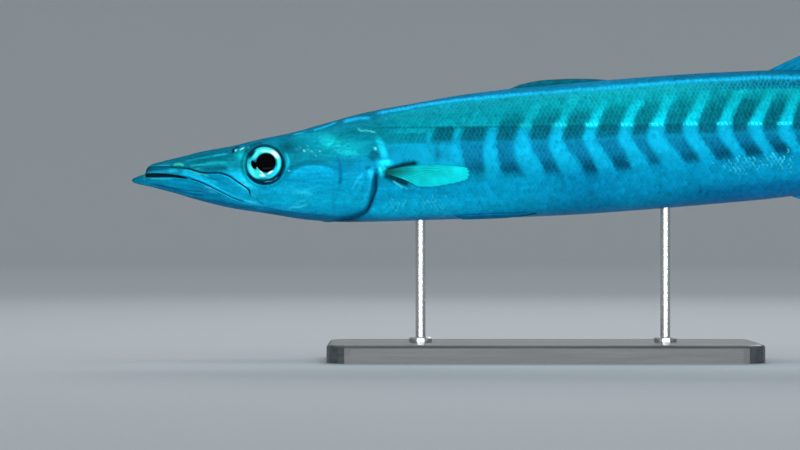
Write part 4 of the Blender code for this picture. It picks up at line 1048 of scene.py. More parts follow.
def skin_piece(material):
    """One closed skin from jaw tip to tail stalk, a grid that is wrapped round the body."""
    stations = ring_stations()
    levels = np.concatenate(([0], np.arange(len(stations)), [len(stations) - 1, len(stations) - 1]))
    shrink = np.ones(len(levels))
    shrink[0], shrink[-2], shrink[-1] = 0.0, 0.5, 0.0
    bm = bmesh.new()
    bmesh.ops.create_grid(bm, x_segments=len(levels) - 1, y_segments=RING_SIDES, size=1.0)
    mesh = to_mesh(bm, "skin", outward=False)
    flat = get_points(mesh)
    level = np.rint((flat[:, 0] + 1) / 2 * (len(levels) - 1)).astype(int)
    row = flat[:, 1] * ROWS
    ring = stations[levels[level]]
    # Rings lean into the gill cover's edge, so that it runs along one of them.
    share = ease(0.10, GILL_STATION, ring) * ease(0.32, GILL_STATION, ring)
    s = ring + (gill_edge(row_angle(ring, row)) - GILL_STATION) * share
    angle = row_angle(s, row)
    point = ring_point(s, angle)
    h = point[:, 2].copy()
    lift, crease = head_relief(s, ring, angle, h)
    fit = ease(0.0, 0.004, ring) * ease(STALK_END, STALK_END - 0.004, ring)
    point += ring_normal(s, angle) * ((lift - COAT) * fit)[:, None]

    # The open mouth is pushed in towards the middle.
    opening, away = mouth(s, h)
    inside = ease(0.0001, -0.0006, away) * ease(UPPER_JAW_START - 0.0002, UPPER_JAW_START + 0.0004, s)
    inside *= ease(0.0005, 0.0010, opening)
    point[:, 1] *= 1 - MOUTH_DEPTH_SHARE * inside
    # The inside of the open mouth is painted as shade.
    crease = np.maximum(crease, inside)

    # Both ends close on the middle of their ring.
    centre = (ring_point(ring, np.zeros_like(ring)) + ring_point(ring, np.full_like(ring, math.pi))) / 2
    point = centre + (point - centre) * shrink[level][:, None]

    set_points(mesh, place(point))
    set_colour(mesh, "paint", marks(base_paint(s, h), s, h))
    for name, values in (("crease", crease), ("dull", dullness(s, h)), ("silver", crown_silver_glints(s, h))):
        set_number(mesh, name, values)
    set_uv(mesh, "girth", np.stack((s, row / ROWS), axis=-1))
    turn_outward(mesh, merge=0.00002)
    add_object("skin", mesh, material, ("head", "lower_jaw", "trunk_front", "trunk_rear", "tail_stalk"))


# ---- Scales ----

PITCH_KEYS = mm((150, 3.4), (250, 4.1), (350, 4.3), (700, 4.2), (800, 3.6), (893, 2.4))
SCALE_THICKNESS = 0.00009
BAKE_PATCH = 0.003  # side of each scale's patch on the unwrap
# The coat's stretches on each side: (name, start, end), each small enough for one mesh.
COAT_STRETCHES = (("shoulder", 0.0, 0.395), ("middle", 0.395, 0.560), ("rear", 0.560, 0.715), ("stalk", 0.715, 1.0))
# How far forward the rows of the nape begin, and how wide the bare shoulder is in the rows below: (row, size).
NAPE_ROWS = 12
NAPE_START = ((0.0, 0.180), (5.0, 0.196), (9.0, 0.222), (12.0, GILL_STATION))
BARE_SHOULDER = (
    (12.0, 0.0040), (15.0, 0.0100), (19.0, 0.0130), (23.0, 0.0180), (25.0, 0.0400), (28.0, 0.0440), (30.0, 0.0360),
    (32.0, 0.0140), (34.0, 0.0040),
)


def columns_table():
    """Number of scale columns from the front to each distance back."""
    s = np.linspace(0.15, STALK_END + 0.01, 600)
    return s, np.concatenate(([0.0], np.cumsum(np.diff(s) / smooth(PITCH_KEYS, (s[1:] + s[:-1]) / 2))))


COLUMN_S, COLUMN_NUMBER = columns_table()


def scale_template():
    """One scale in units of its column and row spacing: rounded behind, low in front, with a crisp rim."""
    bm = bmesh.new()
    bmesh.ops.create_circle(bm, cap_ends=True, segments=12, radius=1.0)
    lid = bm.faces[:][0]
    grown = bmesh.ops.extrude_face_region(bm, geom=[lid], use_keep_orig=True)["geom"]
    top = [f for f in grown if isinstance(f, bmesh.types.BMFace)][0]
    bmesh.ops.translate(bm, verts=top.verts, vec=(0, 0, 1.0))
    bmesh.ops.inset_region(bm, faces=[top], thickness=0.42)
    for edge in bm.edges:
        edge.smooth = edge.calc_face_angle(0.0) < 1.0
    for vert in bm.verts:
        x, y, z = vert.co
        vert.co = (x * (0.95 if x > 0 else 0.72) - 0.05, y * 0.98, z)
    obj = bpy.data.objects.new("scale", to_mesh(bm, "scale"))
    bpy.context.scene.collection.objects.link(obj)
    return obj


def repeat(template, centres):
    """A mesh with a copy of the template's shape at each centre, from realized instances."""
    points = bpy.data.meshes.new("centres")
    points.vertices.add(len(centres))
    set_points(points, centres)
    carrier = bpy.data.objects.new("centres", points)
    bpy.context.scene.collection.objects.link(carrier)
    group = bpy.data.node_groups.new("repeat", "GeometryNodeTree")
    group.interface.new_socket("Geometry", in_out="INPUT", socket_type="NodeSocketGeometry")
    group.interface.new_socket("Geometry", in_out="OUTPUT", socket_type="NodeSocketGeometry")
    source = add_node(group, "NodeGroupInput")
    shape = add_node(group, "GeometryNodeObjectInfo", {"Object": template})
    copies = add_node(group, "GeometryNodeInstanceOnPoints",
                      {"Points": source.outputs[0], "Instance": shape.outputs["Geometry"]})
    real = add_node(group, "GeometryNodeRealizeInstances", {"Geometry": copies.outputs[0]})
    add_node(group, "NodeGroupOutput", {0: real.outputs[0]})
    carrier.modifiers.new("repeat", "NODES").node_group = group
    depsgraph = bpy.context.evaluated_depsgraph_get()
    mesh = bpy.data.meshes.new_from_object(carrier.evaluated_get(depsgraph))
    bpy.data.objects.remove(carrier)
    return mesh


def scale_starts(row):
    """How far forward each row of scales begins: at the gill cover, and farther forward over the nape."""
    angle = row_angle(np.full(row.shape, GILL_STATION), row)
    # The shoulder bone behind the gill opening and the hollow round the breast fin's root are bare.
    behind_cover = gill_edge(angle) + smooth(BARE_SHOULDER, np.abs(row))
    return np.where(np.abs(row) < NAPE_ROWS, smooth(NAPE_START, np.abs(row)), behind_cover)


def scale_centres(rows, start, end):
    """Column and row of each scale of one stretch of the body. Every other row is half a column on."""
    last = np.interp(STALK_END - 0.001, COLUMN_S, COLUMN_NUMBER)
    centres = []
    for row in rows:
        first = np.interp(scale_starts(np.array([float(row)]))[0], COLUMN_S, COLUMN_NUMBER)
        numbers = np.arange(math.ceil(first), last) + (0.5 if row % 2 else 0.0)
        at = np.interp(numbers, COLUMN_NUMBER, COLUMN_S)
        numbers = numbers[(at >= start) & (at < end)]
        centres.append(np.stack((numbers, np.full(numbers.shape, float(row)), np.zeros(numbers.shape)), axis=-1))
    return np.vstack(centres)


def lay_scales(centres, offset):
    """Lays scales on the body, each overlapping the one behind it.

    Returns each point's place along and across its own scale, its distance back, and its place.
    """
    one_each = (len(centres), 1)
    # Each scale is a little larger or smaller, and turned a little.
    size = rng.normal(1.0, 0.035, one_each)
    turn = rng.normal(0.0, 0.05, one_each)
    x = (offset[..., 0] - offset[..., 1] * turn) * size
    y = (offset[..., 1] + offset[..., 0] * turn) * size
    s = np.minimum(np.interp(centres[:, :1] + x, COLUMN_NUMBER, COLUMN_S), STALK_END + 0.001)
    row = np.clip(centres[:, 1:2] + y, -ROWS + 0.001, ROWS - 0.001)
    angle = row_angle(s, np.where(row == 0, 1e-6, row))
    small = np.clip(smooth(PITCH_KEYS, s) / 0.0042, 0.5, 1.0)
    rear = np.clip((x + 0.75) / 1.65, 0.0, 1.0)
    jitter = rng.normal(0.0, 0.00002, one_each)
    crown = 0.00007 * (1 - np.clip(x * x + y * y, 0, 1))
    bulge = (0.00012 * rear + crown + jitter) * small
    lift = -COAT + 0.00005 + bulge + (offset[..., 2] - 0.5) * SCALE_THICKNESS * small
    behind = s - gill_edge(angle)
    on_nape = np.where(np.abs(centres[:, 1:2]) < NAPE_ROWS, 0.3, 1.0)
    lift -= on_nape * gill_tuck(angle) * np.clip(1 - behind / GILL_REACH, 0.0, 1.0) * (behind > -0.001)
    fit = ease(STALK_END + 0.001, STALK_END - 0.006, s)
    lift = lift * fit - (1 - fit) * 0.0002
    return x, y, s, ring_point(s, angle) + ring_normal(s, angle) * lift[..., None]


def scale_colours(x, y, s, point):
    """Colours of a stretch of scales. Each one keeps near to the colour at its own middle."""
    one_each = (len(s), 1)
    h_centre = point.mean(axis=1, keepdims=True)
    spread = np.clip(np.hypot(x, y * 0.9), 0, 1)
    # Pigment lies in the middle of a scale, and its rear edge is clear.
    pigment = 1 - ease(0.45, 0.95, spread)
    own_s = 0.7 * s + 0.3 * h_centre[..., 0]
    own_h = 0.7 * point[..., 2] + 0.3 * h_centre[..., 2]
    colour = base_paint(own_s.ravel(), own_h.ravel(), pigment.ravel())
    colour = marks(colour, s.ravel(), point[..., 2].ravel()).reshape(*s.shape, 3)
    glow = rng.normal(1.0, 0.075, one_each)
    colour = colour * (glow * (0.94 + 0.12 * ease(0.55, 0.95, spread)))[..., None]
    # Some scales catch the light in a curl along their rear edge.
    chance = sum(
        many * blob(h_centre[..., 0], h_centre[..., 2], centre, long, high) for centre, long, high, many in SPARKLES
    )
    facing = rng.uniform(-1.3, 0.3, one_each)
    curl = ease(0.40, 0.72, spread) * ease(0.25, 0.75, x * np.cos(facing) + y * np.sin(facing))
    bright = rng.uniform(0.45, 1.0, one_each) * (rng.random(one_each) < chance)
    return paint_over(colour, ("3cdcec", curl * bright))


def scale_piece(name, material, template, centres):
    """One stretch of the coat as a joined mesh."""
    mesh = repeat(template, centres)
    local = get_points(template.data)
    offset = get_points(mesh).reshape(-1, len(local), 3) - centres[:, None, :]
    x, y, s, point = lay_scales(centres, offset)
    set_points(mesh, place(point.reshape(-1, 3)))
    set_colour(mesh, "paint", scale_colours(x, y, s, point).reshape(-1, 3))
    set_number(mesh, "dull", dullness(s, point[..., 2]).ravel())
    set_uv(mesh, "scale", np.stack((x + 0.5, y), axis=-1).reshape(-1, 2))
    # Each scale is a small patch at its root's place on the body's own unwrap.
    root_s = np.interp(centres[:, 0], COLUMN_NUMBER, COLUMN_S)
    home = np.stack((0.02 + 0.96 * root_s, 0.5 + 0.48 * centres[:, 1] / ROWS), axis=-1)
    set_uv(mesh, "OFBake", (home[:, None, :] + local[None, :, :2] * BAKE_PATCH / 2).reshape(-1, 2))
    add_object(name, mesh, material)


def scale_pieces(material):
    """The coat of scales, in four stretches on each side."""
    template = scale_template()
    for side_name, rows in (("left", np.arange(0, ROWS)), ("right", -np.arange(1, ROWS + 1))):
        for length_name, start, end in COAT_STRETCHES:
            scale_piece(f"scales_{side_name}_{length_name}", material, template, scale_centres(rows, start, end))
    bpy.data.objects.remove(template)


# ---- Fins ----


def bezier(root, bend, tip, t):
    """Points on curved rays, each bent towards its middle point."""
    t = t[..., None]
    return root * (1 - t) ** 2 + bend * 2 * t * (1 - t) + tip * t * t


def branching(across, t, fork=0.30):
    """1 on a ray, 0 between rays. Each ray forks into two and then four towards the edge."""
    off = np.abs(across - np.rint(across))
    off = np.abs(off - 0.25 * ease(fork, fork + 0.45, t))
    off = np.abs(off - 0.125 * ease(fork + 0.35, 1.0, t))
    width = 0.20 - 0.10 * ease(fork, 1.0, t)
    return np.exp(-((off / width) ** 2))


def fin_piece(name, rays, columns, rows, shape, thickness, material, replaced, notch=0.010):
    """A closed fin. shape(across, t, offset) gives points of the fish's frame.

    thickness holds half the thickness of a ray and of the web between rays, at the root and at the tip.
    """
    bm = bmesh.new()
    bmesh.ops.create_grid(bm, x_segments=columns, y_segments=rows, size=1.0)
    grown = bmesh.ops.extrude_face_region(bm, geom=bm.faces[:], use_keep_orig=True)["geom"]
    bmesh.ops.translate(bm, verts=[v for v in grown if isinstance(v, bmesh.types.BMVert)], vec=(0, 0, 1))
    mesh = to_mesh(bm, name)
    flat = get_points(mesh)
    across = (flat[:, 0] + 1) / 2 * (rays - 1)
    t = (flat[:, 1] + 1) / 2
    face = np.where(flat[:, 2] > 0.5, 1.0, -1.0)
    ridge = branching(across, t)
    root_ray, tip_ray, root_web, tip_web = thickness
    half_ray = root_ray + (tip_ray - root_ray) * t**0.8
    half_web = root_web + (tip_web - root_web) * t**0.8
    half = half_web + (half_ray - half_web) * ridge
    half *= ease(1.02, 0.97, t) * 0.75 + 0.25
    # The edge is notched a little between the rays.
    edge_t = t * (1 - notch * (1 - ridge) * t**6)
    set_points(mesh, place(shape(across, edge_t, face * half)))
    set_number(mesh, "ridge", ridge)
    set_uv(mesh, "fin", np.stack((across, t), axis=-1))
    turn_outward(mesh)
    add_object(name, mesh, material, replaced)


# Half thickness of a ray at root and tip, and of the web between rays at root and tip.
MEDIAN_THICKNESS = (0.0012, 0.00045, 0.0005, 0.00022)
TAIL_THICKNESS = (0.00174, 0.00045, 0.000725, 0.00022)
PECTORAL_THICKNESS = (0.0011, 0.00040, 0.0009, 0.00028)
PELVIC_THICKNESS = (0.00072, 0.00045, 0.0003, 0.00022)
SPINE_THICKNESS = (0.0016, 0.0006, 0.0013, 0.0005)

# Second dorsal and anal fin: (ray, share of the full height) and (ray, how far back the tip lies).
MEDIAN_RAYS = 10
MEDIAN_HEIGHT = ((0, 0.42), (1, 1.0), (2, 0.90), (4, 0.52), (6, 0.31), (9, 0.20))
MEDIAN_REACH = ((0, 0.040), (1, 0.085), (4, 0.086), (6, 0.092), (9, 0.114))


def median_shape(start, edge, direction):
    """The soft dorsal or anal fin, standing on the body's outline."""
    def shape(across, t, offset):
        root_s = start + 0.088 * across / (MEDIAN_RAYS - 1)
        height = 0.039 * smooth(MEDIAN_HEIGHT, across)
        tip_s = start + smooth(MEDIAN_REACH, across)
        root = np.stack((root_s, smooth(edge, root_s) - direction * 0.0012), axis=-1)
        tip = np.stack((tip_s, smooth(edge, tip_s) + direction * height), axis=-1)
        bend = (root + tip) / 2
        bend[:, 1] += direction * 0.08 * height
        flat = bezier(root, bend, tip, t)
        return np.stack((flat[:, 0], offset, flat[:, 1]), axis=-1)
    return shape


TAIL_RAYS = 17
TAIL_EDGE = (
    (0.0, 0.9590), (0.10, 0.9670), (0.21, 0.9735), (0.42, 0.9840), (0.62, 0.9980), (0.83, 1.0165), (1.0, TAIL_TIP),
)


def tail_shape(across, t, offset):
    """The forked tail fin, both lobes in one."""
    share = across / (TAIL_RAYS - 1) * 2 - 1
    sign = np.sign(share)
    span = np.abs(share) ** 1.12
    root = np.stack((np.full(share.shape, STALK_END - 0.003), 0.0335 * share), axis=-1)
    tip = np.stack((smooth(TAIL_EDGE, span), TAIL_HALF_SPAN * span * sign), axis=-1)
    bend = root * 0.55 + tip * 0.45
    bend[:, 1] += sign * 0.010 * share**2
    flat = bezier(root, bend, tip, t)
    return np.stack((flat[:, 0], offset * (1 + 0.5 * ease(0.25, 0.0, t)), flat[:, 1]), axis=-1)


PECTORAL_RAYS = 13
PECTORAL_ROOT = ((0.2540, -0.0085), (0.2552, -0.0133))
# Rear edge of the breast fin, from its upper ray (0) to its lower one (1).
PECTORAL_TIP_BACK = (
    (0.0, 0.3345), (0.10, 0.3366), (0.25, 0.3352), (0.42, 0.3262), (0.58, 0.3140), (0.75, 0.2990),
    (0.90, 0.2860), (1.0, 0.2785),
)
PECTORAL_TIP_HEIGHT = (
    (0.0, -0.0113), (0.10, -0.0152), (0.25, -0.0210), (0.42, -0.0238), (0.58, -0.0256), (0.75, -0.0270),
    (0.90, -0.0262), (1.0, -0.0212),
)


def pectoral_shape(side):
    """The breast fin, folded back along the flank and lifting off it towards the tip."""
    def shape(across, t, offset):
        share = across / (PECTORAL_RAYS - 1)
        top, foot = np.array(PECTORAL_ROOT)
        root = top + (foot - top) * share[:, None]
        tip = np.stack((smooth(PECTORAL_TIP_BACK, share), smooth(PECTORAL_TIP_HEIGHT, share)), axis=-1)
        # The rear edge dips a little between the rays.
        tip = root + (tip - root) * (1 - 0.016 * np.sin(across * math.pi) ** 2 * ease(0.0, 1.0, across))[:, None]
        bend = (root + tip) / 2
        bend[:, 1] += 0.0070 - 0.0042 * share
        flat = bezier(root, bend, tip, t)
        away = np.maximum(0.0, flat[:, 0] - top[0])
        lift = 0.0013 + GAP + 0.085 * away - 0.0018 * ease(0.008, 0.0, away)
        return flank_at_height(flat[:, 0], flat[:, 1], side, lift + offset)
    return shape


PELVIC_RAYS, PELVIC_START = 6, 0.3190


def belly_at_side(s, y, lift):
    """Points of the belly at a distance y from the middle, lifted off the surface."""
    level, _, drop, half, _, lower = section(s)
    h = level - drop * (1 - (np.abs(y) / half) ** lower) ** (1 / lower)
    out_y = np.sign(y) * (np.abs(y) / half) ** (lower - 1) / half
    out_h = -(((level - h) / drop) ** (lower - 1)) / drop
    size = np.hypot(out_y, out_h)
    return np.stack((s, y + lift * out_y / size, h + lift * out_h / size), axis=-1)


def pelvic_shape(side):
    """A belly fin, folded flat against the belly."""
    def shape(across, t, offset):
        share = across / (PELVIC_RAYS - 1)
        root = np.stack((PELVIC_START + 0.0080 * share, 0.0185 - 0.0065 * share), axis=-1)
        tip = np.stack((0.4010 - 0.0340 * share**1.5, 0.0200 - 0.0085 * share), axis=-1)
        bend = (root + tip) / 2
        bend[:, 1] += 0.0020 * (1 - 2 * share)
        flat = bezier(root, bend, tip, t)
        away = np.maximum(0.0, flat[:, 0] - PELVIC_START)
        lift = 0.0008 + GAP + 0.004 * away - 0.0014 * ease(0.008, 0.0, away)
        return belly_at_side(flat[:, 0], side * flat[:, 1], lift + offset)
    return shape


# The folded first dorsal fin, from front (0) to rear (1).
SPINES = 6
KEEL_HEIGHT = ((0.0, 0.15), (0.10, 0.62), (0.35, 1.0), (0.60, 0.86), (0.85, 0.50), (1.0, 0.16))
KEEL_THICKNESS = ((0.0, 0.45), (0.15, 1.0), (0.70, 0.9), (1.0, 0.35))


def first_dorsal_shape(across, t, offset):
    """The spiny dorsal fin folded down in its groove: a low keel."""
    share = across / (SPINES - 1)
    s = 0.3805 + 0.0995 * share + 0.004 * t * (1 - share)
    h = smooth(BACK, s) - 0.0008 + (0.0046 + 0.0008 + GAP) * smooth(KEEL_HEIGHT, share) * t
    return np.stack((s, offset * smooth(KEEL_THICKNESS, share), h), axis=-1)


def fins():
    """Every fin, each in place of its solid."""
    dark = fin_material("dark fin skin", "036f96", "0a93b4", "02384f", 0.84)
    tail = fin_material("tail fin skin", "0585ad", "17a9cf", "02384f", 0.88)
    pale = fin_material("breast fin skin", "029ca4", "0ac8ca", "06c4cc", 0.62, root="0b6662")
    belly = fin_material("belly fin skin", "04608a", "0574a2", "033a52", 0.86)
    spiny = fin_material("spiny fin skin", "02505f", "036274", "023c48", 0.80)
    for name, start, edge, direction in (("second_dorsal", 0.641, BACK, 1), ("anal", 0.655, BELLY, -1)):
        shape = median_shape(start, edge, direction)
        fin_piece(name, MEDIAN_RAYS, 120, 60, shape, MEDIAN_THICKNESS, dark, (f"{name}_fin",))
    fin_piece("tail", TAIL_RAYS, 240, 80, tail_shape, TAIL_THICKNESS, tail, ("tail_fin_upper", "tail_fin_lower"))
    for name, side in (("left", -1), ("right", 1)):
        fin_piece(f"pectoral_{name}", PECTORAL_RAYS, 144, 56, pectoral_shape(side), PECTORAL_THICKNESS, pale,
                  (f"pectoral_fin_{name}",), notch=0.020)
        fin_piece(f"pelvic_{name}", PELVIC_RAYS, 60, 50, pelvic_shape(side), PELVIC_THICKNESS, belly,
                  (f"pelvic_fin_{name}",))
    fin_piece("first_dorsal", SPINES, 90, 16, first_dorsal_shape, SPINE_THICKNESS, spiny, ("first_dorsal_fin",))


# ---- Eyes ----

# Ovals of the iris, where the ball's edge is at 1: (x, y, half length, half height, turn in degrees, softness).
IRIS_EDGE = (-0.03, 0.065, 0.965, 0.885, 0, 0.045)
PUPIL = (0.125, 0.07, 0.535, 0.515, 0, 0.05)
PUPIL_NOTCH = ((-0.55, 0.01, 0.14, 0.27, 22, 0.18), (-0.38, 0.01, 0.14, 0.16, 0, 0.25))
# Brighter and darker patches; the brightest, in the upper rear and the lower front, are painted highlights.
IRIS_PATCHES = (
    ("34e2de", 0.05, 0.78, 0.55, 0.26, 0, 0.4), ("4ff5f2", -0.42, 0.55, 0.22, 0.14, 45, 0.5),
    ("3cf4f6", 0.82, 0.16, 0.10, 0.45, -8, 0.5), ("0a93a6", 0.70, 0.02, 0.06, 0.30, 0, 0.6),
    ("4cf6f8", -0.66, -0.34, 0.15, 0.42, 28, 0.5), ("22f0e4", -0.34, -0.52, 0.20, 0.16, -40, 0.5),
    ("16c8f0", 0.52, -0.52, 0.26, 0.20, 40, 0.6), ("0587a0", -0.05, -0.80, 0.40, 0.07, -6, 0.5),
    ("8cf8ee", 0.20, 0.68, 0.34, 0.10, -14, 0.6), ("dcfff8", 0.62, 0.50, 0.25, 0.14, -44, 0.5),
    ("0a6f80", -0.42, 0.20, 0.12, 0.09, 0, 0.5), ("02333f", -0.66, 0.62, 0.30, 0.13, 47, 0.5),
)
# Thin light arcs outside the iris below, the dim ring round the pupil, and painted glints in crescents under it.
IRIS_GLINTS = (
    ("3fa7b8", 0.20, -0.93, 0.24, 0.025, 3, 0.5), ("3fa7b8", 0.56, -0.82, 0.20, 0.025, 34, 0.5),
    ("056a7c", 0.125, 0.07, 0.575, 0.565, 0, 0.06), ("d2fff8", -0.21, -0.33, 0.38, 0.035, -52, 0.4),
    ("d2fff8", -0.12, -0.60, 0.16, 0.06, -12, 0.5), ("d2fff8", 0.33, -0.47, 0.16, 0.05, 30, 0.5),
)


def eye_seat(side):
    """Middle of the eye's opening, with the directions back, up and out from it."""
    s, h = EYE
    r = EYE_RADIUS
    at = flank_at_height(np.array((s - r, s + r, s, s)), np.array((h, h, h - r, h + r)), side)
    front, rear, foot, top = at
    back = (rear - front) / np.linalg.norm(rear - front)
    out = np.cross(back, top - foot)
    out /= np.linalg.norm(out)
    if out[1] * side < 0:
        out = -out
    middle = at.mean(axis=0)
    middle[0], middle[2] = s, h
    return middle, back, np.cross(out, back) * -side, out


def eye_material():
    """A fish's eye: a silvery iris round a black pupil that is drawn out in front, under a wet clear cornea."""
    material, tree, shader = new_material("wet fish eye")
    local = add_node(tree, "ShaderNodeUVMap", uv_map="iris").outputs[0]

    def outside(x, y, long, high, turn, soft):
        """0 inside and 1 outside an oval in the iris's own plane, where the ball's edge is at 1."""
        off = add_node(tree, "ShaderNodeVectorMath", {0: local, 1: (x, y, 0.0)}, operation="SUBTRACT")
        turned = add_node(tree, "ShaderNodeVectorRotate", {"Vector": off.outputs[0], "Angle": math.radians(-turn)},
                          rotation_type="Z_AXIS")
        scaled = add_node(tree, "ShaderNodeVectorMath", {0: turned.outputs[0], 1: (1 / long, 1 / high, 0.0)},
                          operation="MULTIPLY")
        size = add_node(tree, "ShaderNodeVectorMath", {0: scaled.outputs[0]}, operation="LENGTH")
        return add_node(tree, "ShaderNodeMapRange", {"Value": size.outputs["Value"], 1: 1 - soft, 2: 1 + soft},
                        interpolation_type="SMOOTHSTEP").outputs[0]

    # Silvery iris with fine streaks.
    streaks = add_node(tree, "ShaderNodeTexNoise", {"Vector": local, "Scale": 7.0, "Detail": 4.0})
    streaked = add_node(tree, "ShaderNodeMapRange", {"Value": streaks.outputs["Fac"], 1: 0.36, 2: 0.66})
    iris = add_node(tree, "ShaderNodeMix", {0: streaked.outputs[0], 6: rgba("10b3c9"), 7: rgba("35d3e4")},
                    data_type="RGBA")
    # The iris darkens to a soft line at its outer edge.
    rim = add_node(tree, "ShaderNodeMath", {0: 1.0, 1: outside(*IRIS_EDGE)}, operation="SUBTRACT")
    # The pupil has a dark notch in front of it.
    pupil = outside(*PUPIL)
    for part in PUPIL_NOTCH:
        pupil = add_node(tree, "ShaderNodeMath", {0: pupil, 1: outside(*part)}, operation="MINIMUM").outputs[0]
    layers = [(tint, outside(*oval)) for tint, *oval in IRIS_PATCHES]
    layers.append(("02334a", rim.outputs[0]))
    layers += [(tint, outside(*oval)) for tint, *oval in IRIS_GLINTS]
    layers.append(("010103", pupil))
    colour = iris.outputs[2]
    for tint, share in layers:
        colour = add_node(tree, "ShaderNodeMix", {0: share, 6: rgba(tint), 7: colour}, data_type="RGBA").outputs[2]
    shine = add_node(tree, "ShaderNodeMath", {0: pupil, 1: 0.25}, operation="MULTIPLY")
    connect(tree, shader, {"Base Color": colour, "Metallic": shine.outputs[0], "Roughness": 0.45,
                           "Specular IOR Level": 0.0, "Coat Weight": 0.015, "Coat Roughness": 0.03})
    return material


def eye_pieces(material):
    """A flattened ball in each socket. Its iris is dished, and the pupil stands a little proud of it."""
    for name, side in (("left", -1), ("right", 1)):
        bm = bmesh.new()
        bmesh.ops.create_uvsphere(bm, u_segments=96, v_segments=48, radius=1.0)
        mesh = to_mesh(bm, f"eyeball_{name}")
        x, y, z = get_points(mesh).T
        middle, back, up, out = eye_seat(side)
        dish = 1 - 0.10 * peak(np.hypot(x, y), 0.72, 0.10) * (z > 0)
        point = (
            middle + back * (x * EYE_RADIUS)[:, None] + up * (y * EYE_RADIUS)[:, None]
            + out * (z * EYE_HALF_DEPTH * dish - EYE_SUNK)[:, None]
        )
        set_points(mesh, place(point))
        set_uv(mesh, "iris", np.stack((x, y), axis=-1))
        if side > 0:
            mesh.flip_normals()
        add_object(f"eyeball_{name}", mesh, material, (f"eye_{name}",))


# ---- Stand ----


def lacquered_ash():
    """Ash stained nearly black under satin lacquer, with grain about 4 mm wide that runs along the base."""
    material, tree, shader = new_material("dark lacquered ash")
    where = add_node(tree, "ShaderNodeTexCoord").outputs["Object"]
    stretched = add_node(tree, "ShaderNodeMapping", {"Vector": where, "Scale": (12, 250, 250)})
    grain = add_node(tree, "ShaderNodeTexNoise",
                     {"Vector": stretched.outputs[0], "Scale": 1.0, "Detail": 5.0, "Roughness": 0.55})
    shade = add_node(tree, "ShaderNodeValToRGB", {0: grain.outputs["Fac"]})
    for stop, at, tint in zip(shade.color_ramp.elements, (0.30, 0.70), ("23282b", "3a4145")):
        stop.position, stop.color = at, rgba(tint)
    relief = add_node(tree, "ShaderNodeBump", {"Strength": 0.25, "Distance": 0.0003, "Height": grain.outputs["Fac"]})
    connect(tree, shader, {"Base Color": shade.outputs[0], "Normal": relief.outputs[0], "Roughness": 0.38,
                           "Coat Weight": 0.3, "Coat Roughness": 0.2})
    return material


def brushed_steel():
    """Stainless steel with brush lines round the rod, drawn about 0.5 mm apart so that they show."""
    material, tree, shader = new_material("brushed stainless steel")
    where = add_node(tree, "ShaderNodeTexCoord").outputs["Object"]
    stretched = add_node(tree, "ShaderNodeMapping", {"Vector": where, "Scale": (40, 40, 2000)})
    lines = add_node(tree, "ShaderNodeTexNoise", {"Vector": stretched.outputs[0], "Scale": 1.0, "Detail": 2.0})
    rough = add_node(tree, "ShaderNodeMapRange", {"Value": lines.outputs["Fac"], 1: 0.3, 2: 0.7, 3: 0.24, 4: 0.38})
    connect(tree, shader, {"Base Color": rgba("c9cccd"), "Metallic": 1.0, "Roughness": rough.outputs[0]})
    return material


def stand():
    """The base and the rods keep their solids, and get their finishes."""
    steel = brushed_steel()
    for name, material in (("stand_base", lacquered_ash()), ("stand_rod_front", steel), ("stand_rod_rear", steel)):
        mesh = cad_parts[name].data
        mesh.materials.clear()
        mesh.materials.append(material)


# ---- Room, light and camera ----

CAMERA_AT = (-0.2523, -3.0, 0.135)
LENS, SENSOR = 135.0, 36.0
FLOOR_RADIUS, WALL_BEND, WALL_HEIGHT = 7.5, 2.0, 5.5


def room():
    """A round bowl of pale paper: a level floor that bends up into a wall all round."""
    bm = bmesh.new()
    first = bm.verts.new((0.0, 0.0, 0.0))
    rim = bmesh.ops.extrude_vert_indiv(bm, verts=[first])["verts"]
    bmesh.ops.translate(bm, verts=rim, vec=(FLOOR_RADIUS, 0, 0))
    bend = bmesh.ops.spin(
        bm, geom=rim, cent=(FLOOR_RADIUS, 0, WALL_BEND), axis=(0, -1, 0), dvec=(0, 0, 0),
        angle=math.radians(90), steps=24,
    )["geom_last"]
    foot = [v for v in bend if isinstance(v, bmesh.types.BMVert)]
    rise = bmesh.ops.extrude_vert_indiv(bm, verts=foot)["verts"]
    bmesh.ops.translate(bm, verts=rise, vec=(0, 0, WALL_HEIGHT - WALL_BEND))
    bmesh.ops.spin(
        bm, geom=bm.verts[:] + bm.edges[:], cent=(0, 0, 0), axis=(0, 0, 1), dvec=(0, 0, 0),
        angle=math.tau, steps=96, use_merge=True,
    )
    bmesh.ops.remove_doubles(bm, verts=bm.verts, dist=0.0001)
    bmesh.ops.recalc_face_normals(bm, faces=bm.faces)
    bm.normal_update()
    lowest = min(bm.faces, key=lambda face: face.calc_center_median().z)
    if lowest.normal.z < 0:
        bmesh.ops.reverse_faces(bm, faces=bm.faces)
    mesh = to_mesh(bm, "backdrop", outward=False)
    mesh.shade_smooth()
    backdrop = bpy.data.objects.new("backdrop", mesh)
    bpy.context.scene.collection.objects.link(backdrop)
    material, tree, shader = new_material("pale studio paper")
    connect(tree, shader, {"Base Color": rgba("d4d9dc"), "Roughness": 0.9})
    mesh.materials.append(material)
    return backdrop


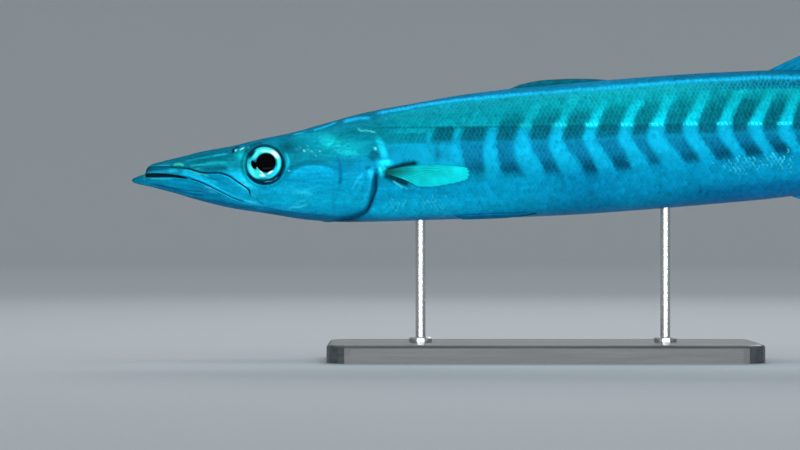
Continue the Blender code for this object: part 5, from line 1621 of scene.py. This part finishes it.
def area_light(name, at, aim, size, power, spread=180):
    """A soft box that faces its aim and isn't seen itself."""
    light = bpy.data.lights.new(name, "AREA")
    light.shape = "RECTANGLE"
    light.size, light.size_y = size
    light.energy = power
    light.spread = math.radians(spread)
    lamp = bpy.data.objects.new(name, light)
    lamp.location = at
    lamp.rotation_euler = (Vector(aim) - Vector(at)).to_track_quat("-Z", "Y").to_euler()
    lamp.visible_camera = False
    bpy.context.scene.collection.objects.link(lamp)
    return lamp


def lights(backdrop):
    """Soft boxes in front, over and behind the fish, in a dim even room."""
    front = (
        area_light("key", (-1.0, -3.2, 1.1), (-0.1, 0.0, 0.18), (2.4, 1.8), 52),
        area_light("fill", (1.3, -3.2, 0.5), (0.0, 0.0, 0.16), (2.2, 1.4), 24),
        area_light("low", (-0.1, -2.4, 0.10), (0.0, 0.0, 0.17), (2.6, 0.16), 27),
    )
    area_light("top", (0.0, 0.25, 1.8), (0.0, 0.0, 0.2), (2.4, 0.7), 4)
    area_light("back", (0.4, 3.4, 2.2), (0.0, 0.1, 0.16), (2.4, 1.2), 7, spread=80)
    # The lights in front stand close to the floor, so they leave it out and burn no patch into it.
    off_floor = bpy.data.collections.new("off the floor")
    off_floor.objects.link(backdrop)
    off_floor.collection_objects[0].light_linking.link_state = "EXCLUDE"
    for lamp in front:
        lamp.light_linking.receiver_collection = off_floor
    world = bpy.data.worlds.new("studio")
    bpy.context.scene.world = world
    world.use_nodes = True
    connect(world.node_tree, world.node_tree.nodes["Background"], {0: rgba("e8eef2"), 1: 0.58})


def camera():
    """Looks level at the fish's left side from 3 m away, so that the tail runs off the picture on the right."""
    data = bpy.data.cameras.new("camera")
    data.lens, data.sensor_width = LENS, SENSOR
    holder = bpy.data.objects.new("camera", data)
    holder.location = CAMERA_AT
    holder.rotation_euler = (math.radians(90), 0, 0)
    bpy.context.scene.collection.objects.link(holder)
    bpy.context.scene.camera = holder
    bpy.context.scene.view_settings.view_transform = "Standard"


skin_piece(skin_material())
scale_pieces(scale_material())
fins()
eye_pieces(eye_material())
stand()
lights(room())
camera()
